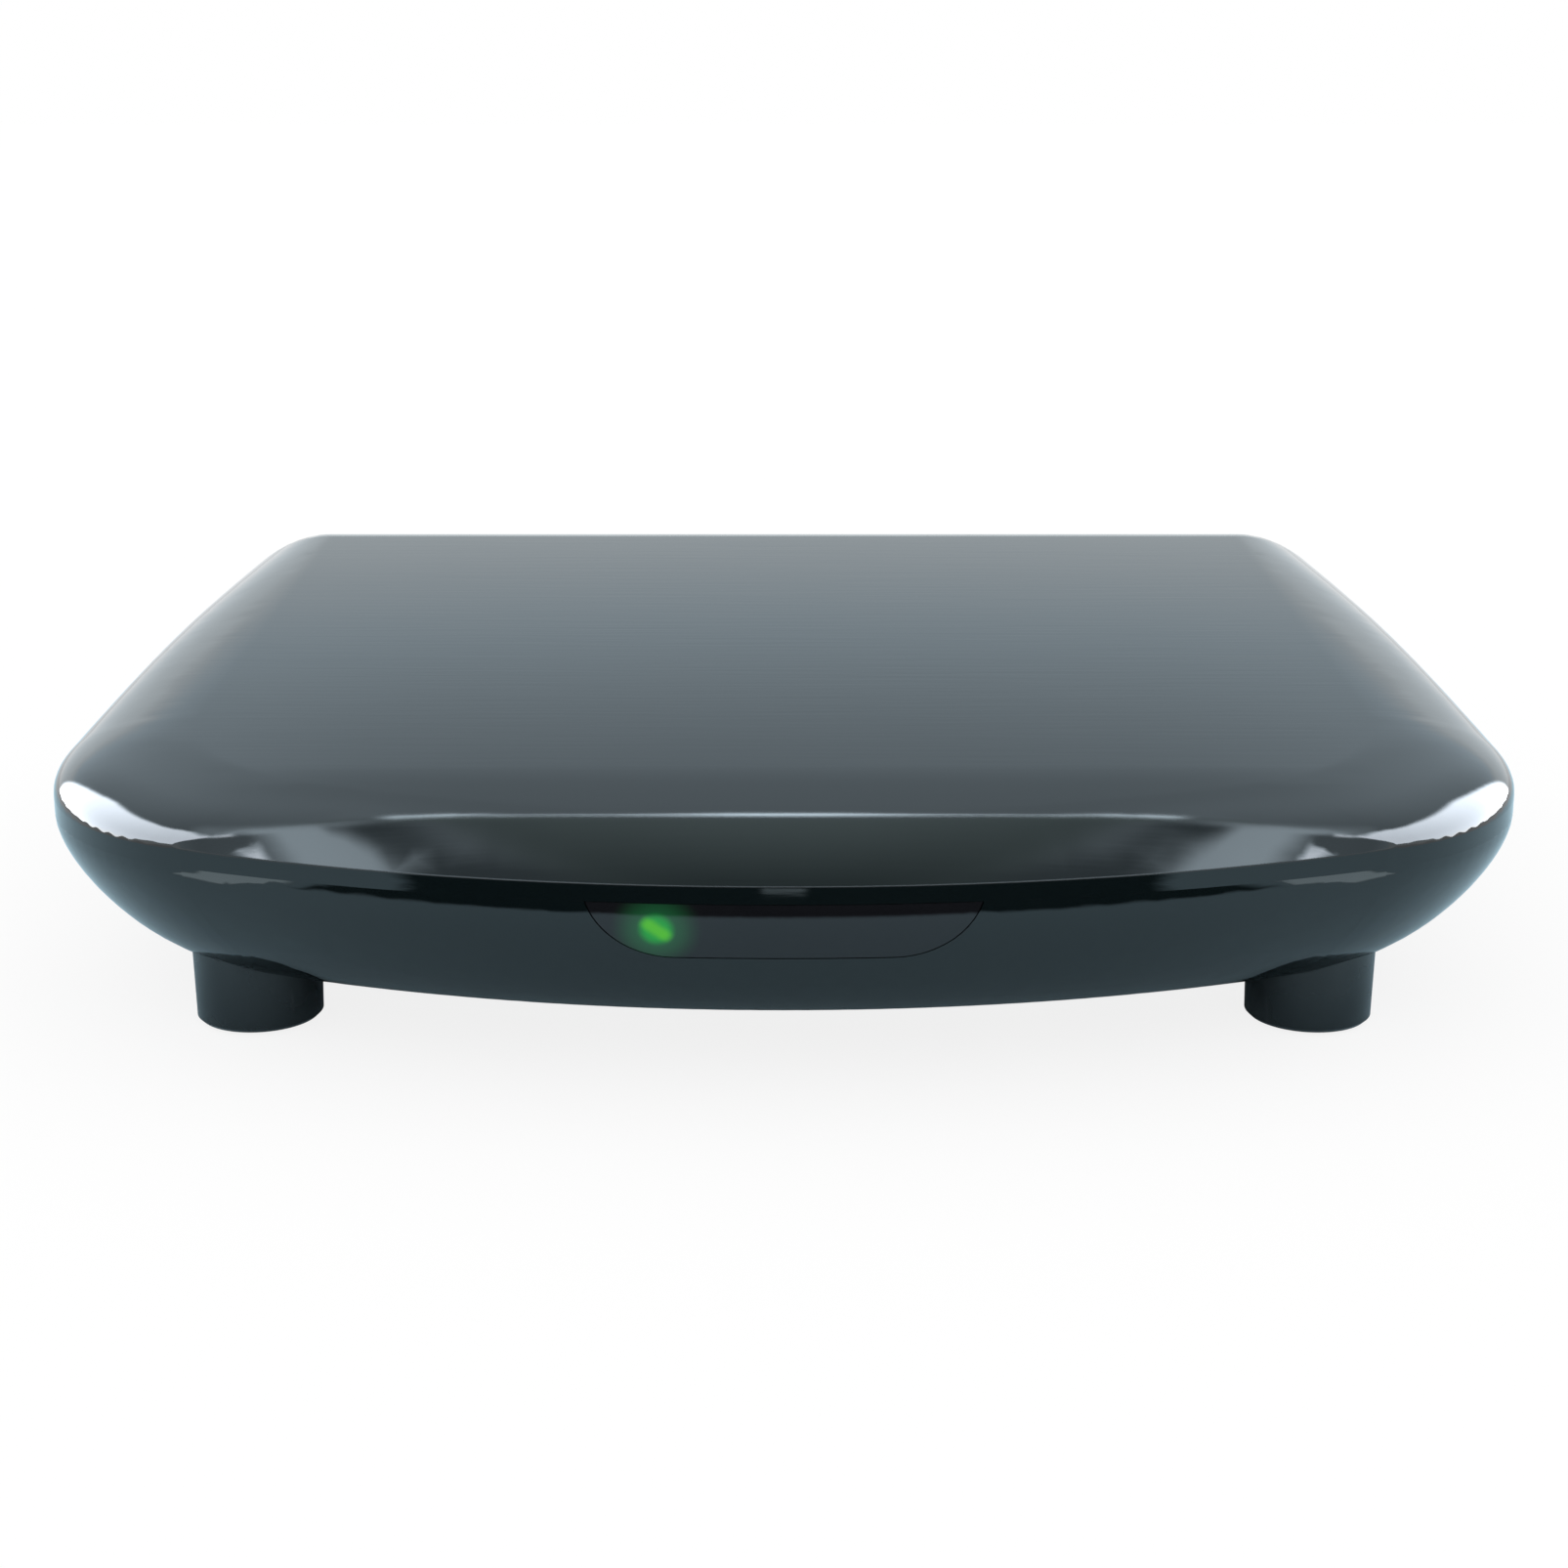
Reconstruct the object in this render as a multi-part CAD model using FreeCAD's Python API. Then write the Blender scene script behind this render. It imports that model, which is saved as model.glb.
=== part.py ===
import FreeCAD, Part
import math
import os

from collections import namedtuple
from FreeCAD import Vector

# Compact satellite television receiver: a glossy pillow-shaped cover on a bowl-shaped lower shell that
# stands on four round feet. All sizes in millimetres. X runs to the right, Y from the front to the back,
# Z up. While modelling, Y is measured from the middle of the front edge; save() moves everything so that
# the origin lies on the ground, under the middle of the bounding box.

# ---- housing ----
BELT_HALF_FRONT = 100.4      # half the width at the parting line, at the front corners
SIDE_TAPER = 2.4             # how much narrower each side is at the rear
BODY_DEPTH = 158.0           # front edge to rear face, without connectors
FRONT_BOW = 202.0            # radius of the bowed front edge, seen from above
CORNER_RADIUS = 38.6         # radius of the front corners, seen from above
CORNER_REACH = 48.0          # how far behind the front edge the widest point lies
PARTING_Z = 26.4             # height of the line between cover and lower shell
BELLY_Z = 8.5                # height of the flat underside
BELLY_SHARE = 0.848          # size of the flat underside, as a share of the outline above it
BELLY_DROP_Z = 9.4           # the wall leaves the parting line as if it went straight down to here
BELLY_FULLNESS = 0.354       # 0 would be a straight slope, 1 a nearly upright wall with a tight bend
WALL = 2.2                   # wall of both mouldings
JOINT_GAP = 0.12             # gap all round between neighbouring mouldings
LIP_THICKNESS = 1.0          # locating lip that stands up inside the cover
LIP_HEIGHT = 0.6
LIP_DEPTH = 3.0              # how far its root reaches down the wall
LIP_ROOT = 0.4               # and into the wall
BOWL_HOLLOW_LIFT = 0.55      # how much the middle of the bowl's hollow is raised, as a share of the wall

# ---- cover ----
TOP_REAR_Z = 43.5            # height of the flat top at the rear edge
TOP_FRONT_Z = 32.7           # height of the same plane over the front edge
TOP_SHARE = 0.82             # size of the flat top, as a share of the outline
SHOULDER_FRONT = 0.72        # fullness of the roll from the top into the front
SHOULDER_CORNER = 1.06       # the same where the front corners end
SHOULDER_FLANK = 1.56        # along the middle of the flanks
SHOULDER_REAR = 0.54         # and at the rear
SHOULDER_HOLLOW = 0.8        # inside, all along the flanks
COVER_HOLLOW_DROP = 0.8      # how much the foot of the inner slope is lowered, as a share of the wall
RIDGE_Z = 28.8               # top of the upright band above the parting line
VISOR_REACH = 25.9           # depth at which the front facet would reach VISOR_TOP_Z, at the middle
VISOR_SIDE_REACH = 19.0      # the same at VISOR_HALF_WIDTH
VISOR_HALF_WIDTH = 71.0
VISOR_TOP_Z = 38.0
VISOR_CUT_HALF = 92.0        # half the width of the cut
VISOR_BITE = 0.1             # how far the facet cuts into the upright band
VISOR_RUN_IN = 0.2           # how far its surface runs on below the ridge, as a share of its height
VISOR_SWEEP = Vector(0, -60.0, 30.0)  # what lies this way from its surface is cut away

# ---- feet ----
FOOT_BOTTOM_RADIUS = 8.4
FOOT_TOP_RADIUS = 8.8
FOOT_CONE_HEIGHT = 20.0      # between the two radii, before the lower shell cuts it off
FOOT_EDGE = 0.5              # chamfer of the foot's lower edge
FOOT_TO_SIDE = 29.5          # from the foot's middle to the widest point of the outline
FOOT_FRONT_Y = 33.0
FOOT_TO_REAR = 28.0
PAD_RADIUS = 6.2
PAD_THICKNESS = 1.4
PAD_PROUD = 0.4              # how far the pad stands out of the foot
PEG_SIDE = 6.0               # square peg that locates the foot in the floor
PEG_CLEARANCE = 0.05

# ---- window in the front ----
WINDOW_HALF_TOP = 24.4       # half the width at the parting line
WINDOW_HALF_FLAT = 13.6      # half the straight lower edge
WINDOW_SILL_Z = 18.6
WINDOW_FLANGE = 1.6          # how far the flange reaches round behind the wall
WINDOW_FLANGE_THICKNESS = 1.0
WINDOW_SEAT_GAP = 0.05       # between the flange and the wall it laps behind
WINDOW_ZONE_Y = 20.0         # how far back its cuts reach

# ---- bottom vents ----
VENT_COUNT = 9
VENT_PITCH = 7.0
VENT_LENGTH = 26.0
VENT_WIDTH = 2.4
VENT_TO_BOARD_REAR = 82.0    # from the front of the vents to the rear edge of the board
VENT_ROW_GAP = 6.0

# ---- case screws ----
CASE_SCREW_TO_SIDE = 24.4
CASE_SCREW_TO_BOARD = 8.0    # front screws, before the front edge of the board
CASE_SCREW_TO_REAR = 48.0    # rear screws, before the rear edge of the board
CASE_BOSS_RADIUS = 4.0
CASE_BOSS_TOP_Z = 20.0
SCREW_HOLE_RADIUS = 1.7
SCREW_CORE_RADIUS = 1.25
SCREW_HEAD_RADIUS = 2.9
SCREW_HEAD_HEIGHT = 1.9
SCREW_SEAT_DEPTH = 2.6       # counterbore in the underside
SCREW_SEAT_GAP = 0.3         # round the head
SCREW_GRIP = 9.0             # how far a case screw reaches into the cover's post

# ---- main board ----
BOARD_TO_WALL = 1.5          # between the board and the sides of the lower shell
BOARD_TO_PANEL = 2.3
BOARD_DEPTH = 90.0
TONGUE_HALF_WIDTH = 30.0     # the narrow front part of the board behind the window
TONGUE_FRONT_Y = 12.4
TONGUE_CHAMFER = 14.0
BOARD_THICKNESS = 1.6
STANDOFF_HEIGHT = 4.0
STANDOFF_RADIUS = 3.4
BOARD_SCREWS_INSIDE = ((-52.0, 80.0), (52.0, 80.0), (32.0, 28.0))
BOARD_SCREW_TO_EDGE = 6.0    # the fourth screw, from the left edge
BOARD_SCREW_REAR = 20.0      # and from the rear edge
TONGUE_REST_Y = (18.0, 21.0)  # rib under the front part of the board
TONGUE_REST_HALF = 9.0
BOARD_HOLE_RADIUS = 1.7
BOARD_SCREW_HEAD_RADIUS = 2.8
BOARD_SCREW_HEAD_HEIGHT = 1.8
BOARD_SCREW_FLOOR = 2.0      # from the underside up to the board screws' tips
BOARD_HOLE_FLOOR = 1.2       # and up to the ends of their holes
BOSS_CLEARANCE = 1.2         # between a case screw post and the board round it

# ---- rear panel ----
OPENING_HALF_WIDTH = 83.5
OPENING_LOW_Z = 14.0
OPENING_HIGH_Z = 37.5
OPENING_RADIUS = 3.0
PANEL_LAP = 2.0              # how far the panel reaches behind the edge of the opening
PANEL_THICKNESS = 1.5
PANEL_HOLE_GAP = 0.3
SADDLE_HALF_WIDTH = 4.0
SADDLE_DEPTH = 2.0
SADDLE_GRIP = 1.8            # how far they reach up in front of the panel
SADDLE_PLACES = (-60.0, 0.0, 60.0)

# ---- tuner and its two aerial connectors ----
TUNER_WIDTH = 40.0
TUNER_DEPTH = 32.0
TUNER_HEIGHT = 13.0
TUNER_SHEET = 0.5
TUNER_TO_PANEL = 1.0
LID_SKIRT = 3.0
AERIAL_SPACING = 19.0
AERIAL_RADIUS = 4.76         # 3/8 inch barrel
AERIAL_BORE_RADIUS = 3.6
AERIAL_CONTACT_RADIUS = 0.7
AERIAL_REACH = 9.5           # how far the barrels stand out behind the rear face
NUT_ACROSS_FLATS = 14.0
NUT_THICKNESS = 2.0
NECK_STEP = 0.8              # the barrels are this much thicker where they pass the panel
BARREL_CHAMFER = 0.5
CONTACT_DEPTH = 8.0          # hole for the plug's centre conductor
INSULATOR_RECESS = 1.0

# ---- sockets ----
USB_WIDTH = 14.4
USB_HEIGHT = 7.0
USB_DEPTH = 17.0
USB_CORE_DEPTH = 5.0
USB_TONGUE = 1.8
USB_TONGUE_DROP = 0.8        # gap over the tongue
HDMI_WIDTH = 15.0
HDMI_HEIGHT = 6.2
HDMI_DEPTH = 12.0
HDMI_CHAMFER = 1.8
HDMI_CORE_DEPTH = 4.0
HDMI_TONGUE = 2.0
TONGUE_RECESS = 1.1          # how far the tongues end inside their mouths
SHELL_SHEET = 0.4            # sheet metal of the small sockets
CHAMFER_SHRINK = 0.4         # how much smaller the chamfer is inside, as a share of the sheet
SCART_WIDTH = 48.0
SCART_HEIGHT = 16.5
SCART_DEPTH = 16.0
SCART_FLANGE = 1.2
SCART_PROUD = 1.0            # how far the socket's nose stands out of the panel
SCART_MARGIN = 3.0           # from the edge of the block to the middle of the groove
SCART_SLANT = 4.0
SCART_GROOVE = 1.2
SCART_GROOVE_DEPTH = 10.0
SCART_CONTACTS = 10          # contacts in each of the two rows
SCART_PITCH = 3.81
SCART_ROW_OFFSET = 2.9       # from the middle to each row
SCART_STAGGER = 0.125        # sideways shift of each row, as a share of the pitch
SCART_BLADE = (0.8, 4.0, 3.6)
SCART_SLOT_GAP = 0.1
AUDIO_BODY = 10.0
AUDIO_DEPTH = 11.0
AUDIO_WALL = 0.6
AUDIO_BORE_DEPTH = 9.0
AUDIO_AXIS_HEIGHT = 7.2
AUDIO_RADIUS = 4.15
AUDIO_BORE_RADIUS = 1.6
AUDIO_REACH = 8.0            # how far the barrel stands out behind the rear face
POWER_WIDTH = 9.0
POWER_HEIGHT = 11.0
POWER_DEPTH = 13.6
POWER_AXIS_HEIGHT = 6.5
POWER_BORE_RADIUS = 3.2
POWER_PIN_RADIUS = 1.0
POWER_BORE_DEPTH = 9.0
POWER_PIN_RECESS = 0.6
BLOCK_ROUNDING = 1.8         # upper edges of the moulded audio and power blocks
SOCKET_TO_PANEL = 0.2
NECK_OUT = 0.5               # how far the audio barrel's neck passes the panel

# ---- on and off switch ----
SWITCH_Z = 25.5
SWITCH_WIDTH = 8.6
SWITCH_HEIGHT = 13.2
SWITCH_DEPTH = 10.0
SWITCH_BEZEL = 1.1           # how far the bezel reaches round the cut-out
SWITCH_BEZEL_THICKNESS = 1.4
SWITCH_BEZEL_CHAMFER = 0.5
SWITCH_BODY_LAP = 0.5        # how far the body runs up inside the bezel
SWITCH_WALL = 0.8
SWITCH_BLADE = (2.8, 5.0, 0.6)
SWITCH_BLADE_OFFSET = 3.5    # from the middle of the switch to each blade
ROCKER_GAP = 0.25
ROCKER_SWING_GAP = 0.15      # more room above and below the rocker
ROCKER_TILT = 9.0            # degrees either side of the middle
ROCKER_AXIS_DEPTH = 1.2      # from the panel's rear face forward to the rocker's axis
ROCKER_FACE = 1.6            # from the axis back to the middle of the rocker's face
ROCKER_LIP = 0.4             # how far the cap's ends slope
ROCKER_PIN_RADIUS = 0.8
ROCKER_PIN_CLEARANCE = 0.05
ROCKER_PIN_LENGTH = 0.6
ROCKER_HUB_RADIUS = 2.4
ROCKER_HUB_BLEND = 0.7       # where the cap's back meets the hub, as a share of its radius
ROCKER_THICKNESS = 1.8

# ---- electronics, placed by x and the distance before the rear edge of the board ----
PROCESSOR_PLACE = (8.0, 60.0)
PROCESSOR_SIDE = 23.0
PROCESSOR_HEIGHT = 2.0
HEAT_PAD_THICKNESS = 0.5
HEAT_PAD_INSET = 1.0         # inside the processor's edge
HEATSINK_SIDE = 27.0
HEATSINK_BASE = 2.0
HEATSINK_HEIGHT = 9.0
HEATSINK_FINS = 7
HEATSINK_FIN = 1.2
MEMORY_PLACES = ((-20.0, 56.0), (-20.0, 68.0))
MEMORY_SIZE = (13.0, 8.0, 1.1)
FLASH_PLACE = (34.0, 68.0)
FLASH_SIZE = (6.0, 5.0, 1.6)
DEMODULATOR_PLACE = (54.0, 54.0)
DEMODULATOR_SIZE = (12.0, 12.0, 1.4)
CRYSTAL_PLACE = (34.0, 56.0)
CRYSTAL_SIZE = (11.0, 4.6, 3.6)
CRYSTAL_FLAT = 0.1           # half the flat between the two roundings of an end
CAPACITOR_PLACES = ((-44.0, 30.0), (-56.0, 30.0), (-68.0, 30.0), (-66.0, 60.0))
CAPACITOR_RADIUS = 4.0
CAPACITOR_HEIGHT = 11.5
COIL_PLACES = ((-44.0, 48.0), (-56.0, 46.0))
COIL_SIDE = 8.0
COIL_HEIGHT = 4.5
COIL_CHAMFER = 1.6
REGULATOR_PLACES = ((-44.0, 62.0), (-54.0, 62.0))
REGULATOR_SIZE = (6.5, 6.5, 2.3)

# ---- parts behind the window ----
LED_X = -15.6
LED_RADIUS = 1.5
LED_FLANGE_RADIUS = 1.9
LED_FLANGE_THICKNESS = 1.0
LED_LENGTH = 5.3
LED_Z = 23.0
LED_TO_WINDOW = 0.3
LED_LEG = 0.5
LED_LEG_SPACING = 2.54
LED_LEG_ROOT = 0.2           # how far the legs reach into the lamp
HOLDER_WIDTH = 5.0
HOLDER_DEPTH = 5.0
HOLDER_SLOT_GAP = 0.1        # round the legs
INFRARED_X = 6.0
INFRARED_TO_WINDOW = 5.5
INFRARED_WIDTH = 5.6
INFRARED_DEPTH = 4.0
INFRARED_HEIGHT = 7.0
INFRARED_LENS_RADIUS = 2.0
INFRARED_LENS_SET = 0.6      # the lens stands out of the front, and ends under the top, by what this leaves
INFRARED_LENS_LOW = 2.0      # from the board to its lower end

# ---- worked out from the above ----
FLOOR_Z = BELLY_Z + WALL
BOARD_LOW_Z = FLOOR_Z + STANDOFF_HEIGHT
BOARD_Z = BOARD_LOW_Z + BOARD_THICKNESS
INNER_REAR_Y = BODY_DEPTH - WALL
PANEL_FRONT_Y = INNER_REAR_Y - PANEL_THICKNESS
BOARD_REAR_Y = PANEL_FRONT_Y - BOARD_TO_PANEL
BOARD_FRONT_Y = BOARD_REAR_Y - BOARD_DEPTH
FOOT_X = BELT_HALF_FRONT - FOOT_TO_SIDE
FOOT_REAR_Y = BODY_DEPTH - FOOT_TO_REAR
CASE_SCREW_X = BELT_HALF_FRONT - CASE_SCREW_TO_SIDE
CASE_SCREW_FRONT_Y = BOARD_FRONT_Y - CASE_SCREW_TO_BOARD
CASE_SCREW_REAR_Y = BOARD_REAR_Y - CASE_SCREW_TO_REAR
CASE_SCREW_PLACES = [
    (side * CASE_SCREW_X, y) for side in (-1, 1) for y in (CASE_SCREW_FRONT_Y, CASE_SCREW_REAR_Y)
]
# The sockets stand side by side in the opening with equal gaps between them.
ROW_WIDTHS = [
    SWITCH_WIDTH + 2 * SWITCH_BEZEL, POWER_WIDTH, AUDIO_BODY, SCART_WIDTH, HDMI_WIDTH, USB_WIDTH, TUNER_WIDTH,
]
ROW_GAP = (2 * OPENING_HALF_WIDTH - sum(ROW_WIDTHS)) / (len(ROW_WIDTHS) + 1)
ROW_PLACES = [
    ROW_GAP * (i + 1) + sum(ROW_WIDTHS[:i]) + width / 2 - OPENING_HALF_WIDTH
    for i, width in enumerate(ROW_WIDTHS)
]
SWITCH_X, POWER_X, AUDIO_X, SCART_X, HDMI_X, USB_X, TUNER_X = ROW_PLACES
AERIAL_PLACES = [TUNER_X - AERIAL_SPACING / 2, TUNER_X + AERIAL_SPACING / 2]
AERIAL_Z = BOARD_Z + TUNER_HEIGHT / 2
TUNER_REAR_Y = PANEL_FRONT_Y - TUNER_TO_PANEL
ROCKER_AXIS_Y = INNER_REAR_Y - ROCKER_AXIS_DEPTH
TOP_SLOPE = (TOP_REAR_Z - TOP_FRONT_Z) / BODY_DEPTH
OUTLINE_MIDDLE_Y = BODY_DEPTH / 2
OVERALL_DEPTH = BODY_DEPTH + AERIAL_REACH
BEYOND = 12.0                # how far large cutting bodies run past what they cut
PAST = 1.0                   # the same for small ones, and how deep posts are rooted in a wall
NEAR = 0.01                  # edges are picked by their place to this
HEXAGON = [(math.cos(math.radians(60 * i)), math.sin(math.radians(60 * i))) for i in range(7)]


# ---- small helpers ----
def box(x_range, y_range, z_range):
    size = [r[1] - r[0] for r in (x_range, y_range, z_range)]
    return Part.makeBox(*size, Vector(x_range[0], y_range[0], z_range[0]))


def block(x, y, z, size):
    """A box that stands on z with its middle over x, y."""
    width, depth, height = size
    return box((x - width / 2, x + width / 2), (y - depth / 2, y + depth / 2), (z, z + height))


def upright(radius, x, y, z_range):
    return Part.makeCylinder(radius, z_range[1] - z_range[0], Vector(x, y, z_range[0]))


def lying(radius, x, z, y_range):
    """A cylinder whose axis runs front to back."""
    return Part.makeCylinder(radius, y_range[1] - y_range[0], Vector(x, y_range[0], z), Vector(0, 1, 0))


def joined(first, *others):
    return first.fuse(list(others)).removeSplitter()


def lengthwise_edges(body):
    """The edges that run from front to back."""
    return [e for e in body.Edges if abs(e.tangentAt(e.FirstParameter).y) > 1.0 - NEAR]


def upright_edges(body):
    """The edges that run from the bottom of a body to its top."""
    return [e for e in body.Edges if e.BoundBox.ZLength > body.BoundBox.ZLength - NEAR]


def save(name, shape):
    moved = shape.copy()
    moved.translate(Vector(0, -OVERALL_DEPTH / 2, 0))
    moved.exportStep("parts/" + name + ".step")


# ---- the outline seen from above ----
def plan_edges(inset, rear_y):
    """Bowed front, then on each side a round corner and a tapering flank, all pulled in by inset."""
    bow = FRONT_BOW - inset
    corner = CORNER_RADIUS - inset
    taper = math.atan2(SIDE_TAPER, BODY_DEPTH - CORNER_REACH)
    normal = (math.cos(taper), math.sin(taper))
    reach = normal[0] * BELT_HALF_FRONT + normal[1] * CORNER_REACH - inset
    bow_middle = (0.0, FRONT_BOW)
    # The corner's middle lies on a line beside the flank, and one corner radius inside the bow.
    start = (normal[0] * (reach - corner), normal[1] * (reach - corner) - bow_middle[1])
    half_b = start[1] * normal[0] - start[0] * normal[1]
    rest = start[0] ** 2 + start[1] ** 2 - (bow - corner) ** 2
    along = -half_b - math.sqrt(half_b ** 2 - rest)
    corner_middle = (start[0] - normal[1] * along, start[1] + normal[0] * along + bow_middle[1])
    bow_end = math.atan2(corner_middle[1] - bow_middle[1], corner_middle[0])

    def on_arc(middle, radius, angle, side):
        return Vector(side * (middle[0] + radius * math.cos(angle)), middle[1] + radius * math.sin(angle), 0)

    rear_x = (reach - normal[1] * rear_y) / normal[0]
    bow_left, bow_right = [on_arc(bow_middle, bow, bow_end, side) for side in (-1, 1)]
    edges = [("bow", Part.Arc(bow_left, Vector(0, inset, 0), bow_right).toShape())]
    for side in (1, -1):
        corner_points = [
            on_arc(corner_middle, corner, angle, side) for angle in (bow_end, (bow_end + taper) / 2, taper)
        ]
        edges.append(("corner", Part.Arc(*corner_points).toShape()))
        rear_point = Vector(side * rear_x, rear_y, 0)
        edges.append(("flank", Part.LineSegment(corner_points[2], rear_point).toShape()))
    return edges


def face_inside(edges, rear_points):
    """The flat face inside open edges and the straight line that closes them at the rear."""
    rear = Part.LineSegment(*rear_points).toShape()
    return Part.Face(Part.Wire(Part.sortEdges(edges + [rear])[0]))


def plan_prism(inset, z_range):
    rear_y = BODY_DEPTH - inset
    edges = [edge for kind, edge in plan_edges(inset, rear_y)]
    rear_points = [Vector(side * edges[2].BoundBox.XMin, rear_y, 0) for side in (1, -1)]
    face = face_inside(edges, rear_points)
    face.translate(Vector(0, 0, z_range[0]))
    return face.extrude(Vector(0, 0, z_range[1] - z_range[0]))


def plan_ring(outer_inset, inner_inset, z_range):
    return plan_prism(outer_inset, z_range).cut(plan_prism(inner_inset, z_range))


# ---- walls that follow the outline at several heights ----
# At each level the outline has its own size and height; share, z and slope hold one value for the front
# and one for the sides, where slope tells how the height grows with y. The weights tell how strongly a
# curve is drawn to the level: at the front, where the corners end, halfway down the flanks, at the rear.
Level = namedtuple("Level", "share z slope weights")
EVEN = (1.0, 1.0, 1.0, 1.0)


def level(share, z, slope=0.0, weights=EVEN):
    return Level((share, share), (z, z), (slope, slope), weights)


def raised(old, distance):
    return old._replace(z=tuple(z + distance for z in old.z))


def halfway(first, middle, last, weights):
    """The level that a curve from first to last passes halfway, drawn to middle by weights."""
    def mixed(low, pull, high):
        return tuple((a + 2 * w * b + c) / (2 + 2 * w) for a, b, c, w in zip(low, pull, high, weights))

    fields = [mixed(first[i], middle[i], last[i]) for i in range(3)]
    return Level(*fields, EVEN)


def level_points(kind, poles, at, rear_y):
    """The poles of one outline edge, brought to a level, and how strongly that level weighs at each."""
    points = []
    weights = []
    last = len(poles) - 1
    for i, pole in enumerate(poles):
        before_side = kind == "bow" or (kind == "corner" and i < len(poles) / 2)
        end = 0 if before_side else 1
        x = pole.x * at.share[end]
        y = OUTLINE_MIDDLE_Y + (pole.y - OUTLINE_MIDDLE_Y) * at.share[end]
        if kind == "flank" and i > 0:
            y = points[0].y + (rear_y - points[0].y) * i / last
            x = points[0].x + (y - points[0].y) * (pole.x - poles[0].x) / (pole.y - poles[0].y)
        points.append(Vector(x, y, at.z[end] + at.slope[end] * y))
        place = end
        if kind == "flank" and i > 0:
            place = 3 if i == last else 2
        weights.append(at.weights[place])
    return points, weights


def spline_edge(poles, weights, knots, multiplicities, degree):
    curve = Part.BSplineCurve()
    curve.buildFromPolesMultsKnots(poles, multiplicities, knots, False, degree, weights)
    return curve.toShape()


def walled_body(inset, levels, degree, foot_z=None):
    """A solid with a wall through the levels and a flat rear, on an upright band from foot_z if given."""
    rear_y = BODY_DEPTH - inset
    faces = []
    lows = []
    highs = []
    ends = []
    end_points = []
    across = ([0.0, 1.0], [degree + 1] * 2, degree)
    for kind, edge in plan_edges(inset, rear_y):
        curve = edge.Curve.toBSpline(edge.FirstParameter, edge.LastParameter)
        if kind == "corner":
            curve.insertKnot((curve.FirstParameter + curve.LastParameter) / 2, 1)
        if kind == "flank":
            curve.increaseDegree(degree)
        along = (curve.getKnots(), curve.getMultiplicities(), curve.Degree)
        rows = [level_points(kind, curve.getPoles(), at, rear_y) for at in levels]
        points = [row[0] for row in rows]
        weights = [[a * b for a, b in zip(curve.getWeights(), row[1])] for row in rows]
        for first in range(0, len(levels) - 1, degree):
            band = slice(first, first + degree + 1)
            surface = Part.BSplineSurface()
            surface.buildFromPolesMultsKnots(
                points[band], across[1], along[1], across[0], along[0], False, False,
                degree, along[2], weights[band]
            )
            faces.append(surface.toShape())
            if kind == "flank":
                column = [row[-1] for row in points[band]]
                ends.append(spline_edge(column, [row[-1] for row in weights[band]], *across))
        low = spline_edge(points[0], weights[0], *along)
        if foot_z is not None:
            low = edge.copy()
            low.translate(Vector(0, 0, foot_z))
            faces.append(low.extrude(Vector(0, 0, levels[0].z[0] - foot_z)))
        lows.append(low)
        highs.append(spline_edge(points[-1], weights[-1], *along))
        if kind == "flank":
            end_points.append((points[0][-1], points[-1][-1]))
    low_z = levels[0].z[0] if foot_z is None else foot_z
    low_points = [Vector(low.x, rear_y, low_z) for low, high in end_points]
    high_points = [high for low, high in end_points]
    faces += [face_inside(lows, low_points), face_inside(highs, high_points)]
    ends += [Part.LineSegment(*low_points).toShape(), Part.LineSegment(*high_points).toShape()]
    if foot_z is not None:
        ends += [Part.LineSegment(foot, low).toShape() for foot, (low, high) in zip(low_points, end_points)]
    faces.append(Part.Face(Part.Wire(Part.sortEdges(ends)[0])))
    shell = Part.makeShell(faces)
    shell.sewShape()
    body = Part.makeSolid(shell)
    if body.Volume < 0:
        body.reverse()
    return body


# ---- cover ----
def cover_levels():
    """Upright at the ridge, drawn to the edge of the sloping top, and flat where it joins the top."""
    return [
        level(1.0, RIDGE_Z),
        level(
            1.0, TOP_FRONT_Z, TOP_SLOPE, (SHOULDER_FRONT, SHOULDER_CORNER, SHOULDER_FLANK, SHOULDER_REAR)
        ),
        level(TOP_SHARE, TOP_FRONT_Z, TOP_SLOPE),
    ]


def visor_cutter():
    """What the front facet takes off: a surface from the ridge up to a counter-bowed line, swept away."""
    low_sag = FRONT_BOW - math.sqrt(FRONT_BOW ** 2 - VISOR_CUT_HALF ** 2)
    high_sag = (VISOR_REACH - VISOR_SIDE_REACH) * (VISOR_CUT_HALF / VISOR_HALF_WIDTH) ** 2

    def line(share):
        """The facet's bowed line at a share of the way from the ridge up."""
        side_y = low_sag + (VISOR_REACH - high_sag - low_sag) * share
        z = RIDGE_Z - VISOR_BITE + (VISOR_TOP_Z - RIDGE_Z) * share
        return Part.Arc(
            Vector(-VISOR_CUT_HALF, side_y, z),
            Vector(0, VISOR_REACH * share, z),
            Vector(VISOR_CUT_HALF, side_y, z),
        ).toShape()

    return Part.makeRuledSurface(line(-VISOR_RUN_IN), line(1.0)).extrude(VISOR_SWEEP)


def cover_form():
    return walled_body(0.0, cover_levels(), 2, PARTING_Z).cut(visor_cutter())


def cover_hollow(inset, low_z):
    """The room inside the cover: the same form by straight slopes, kept clear of the front facet."""
    low, pull, high = cover_levels()
    middle = halfway(low, pull, high, (0.0, SHOULDER_HOLLOW))
    levels = [raised(low, -COVER_HOLLOW_DROP * inset), raised(middle, -inset), raised(high, -inset)]
    return walled_body(inset, levels, 1, low_z)


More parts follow.
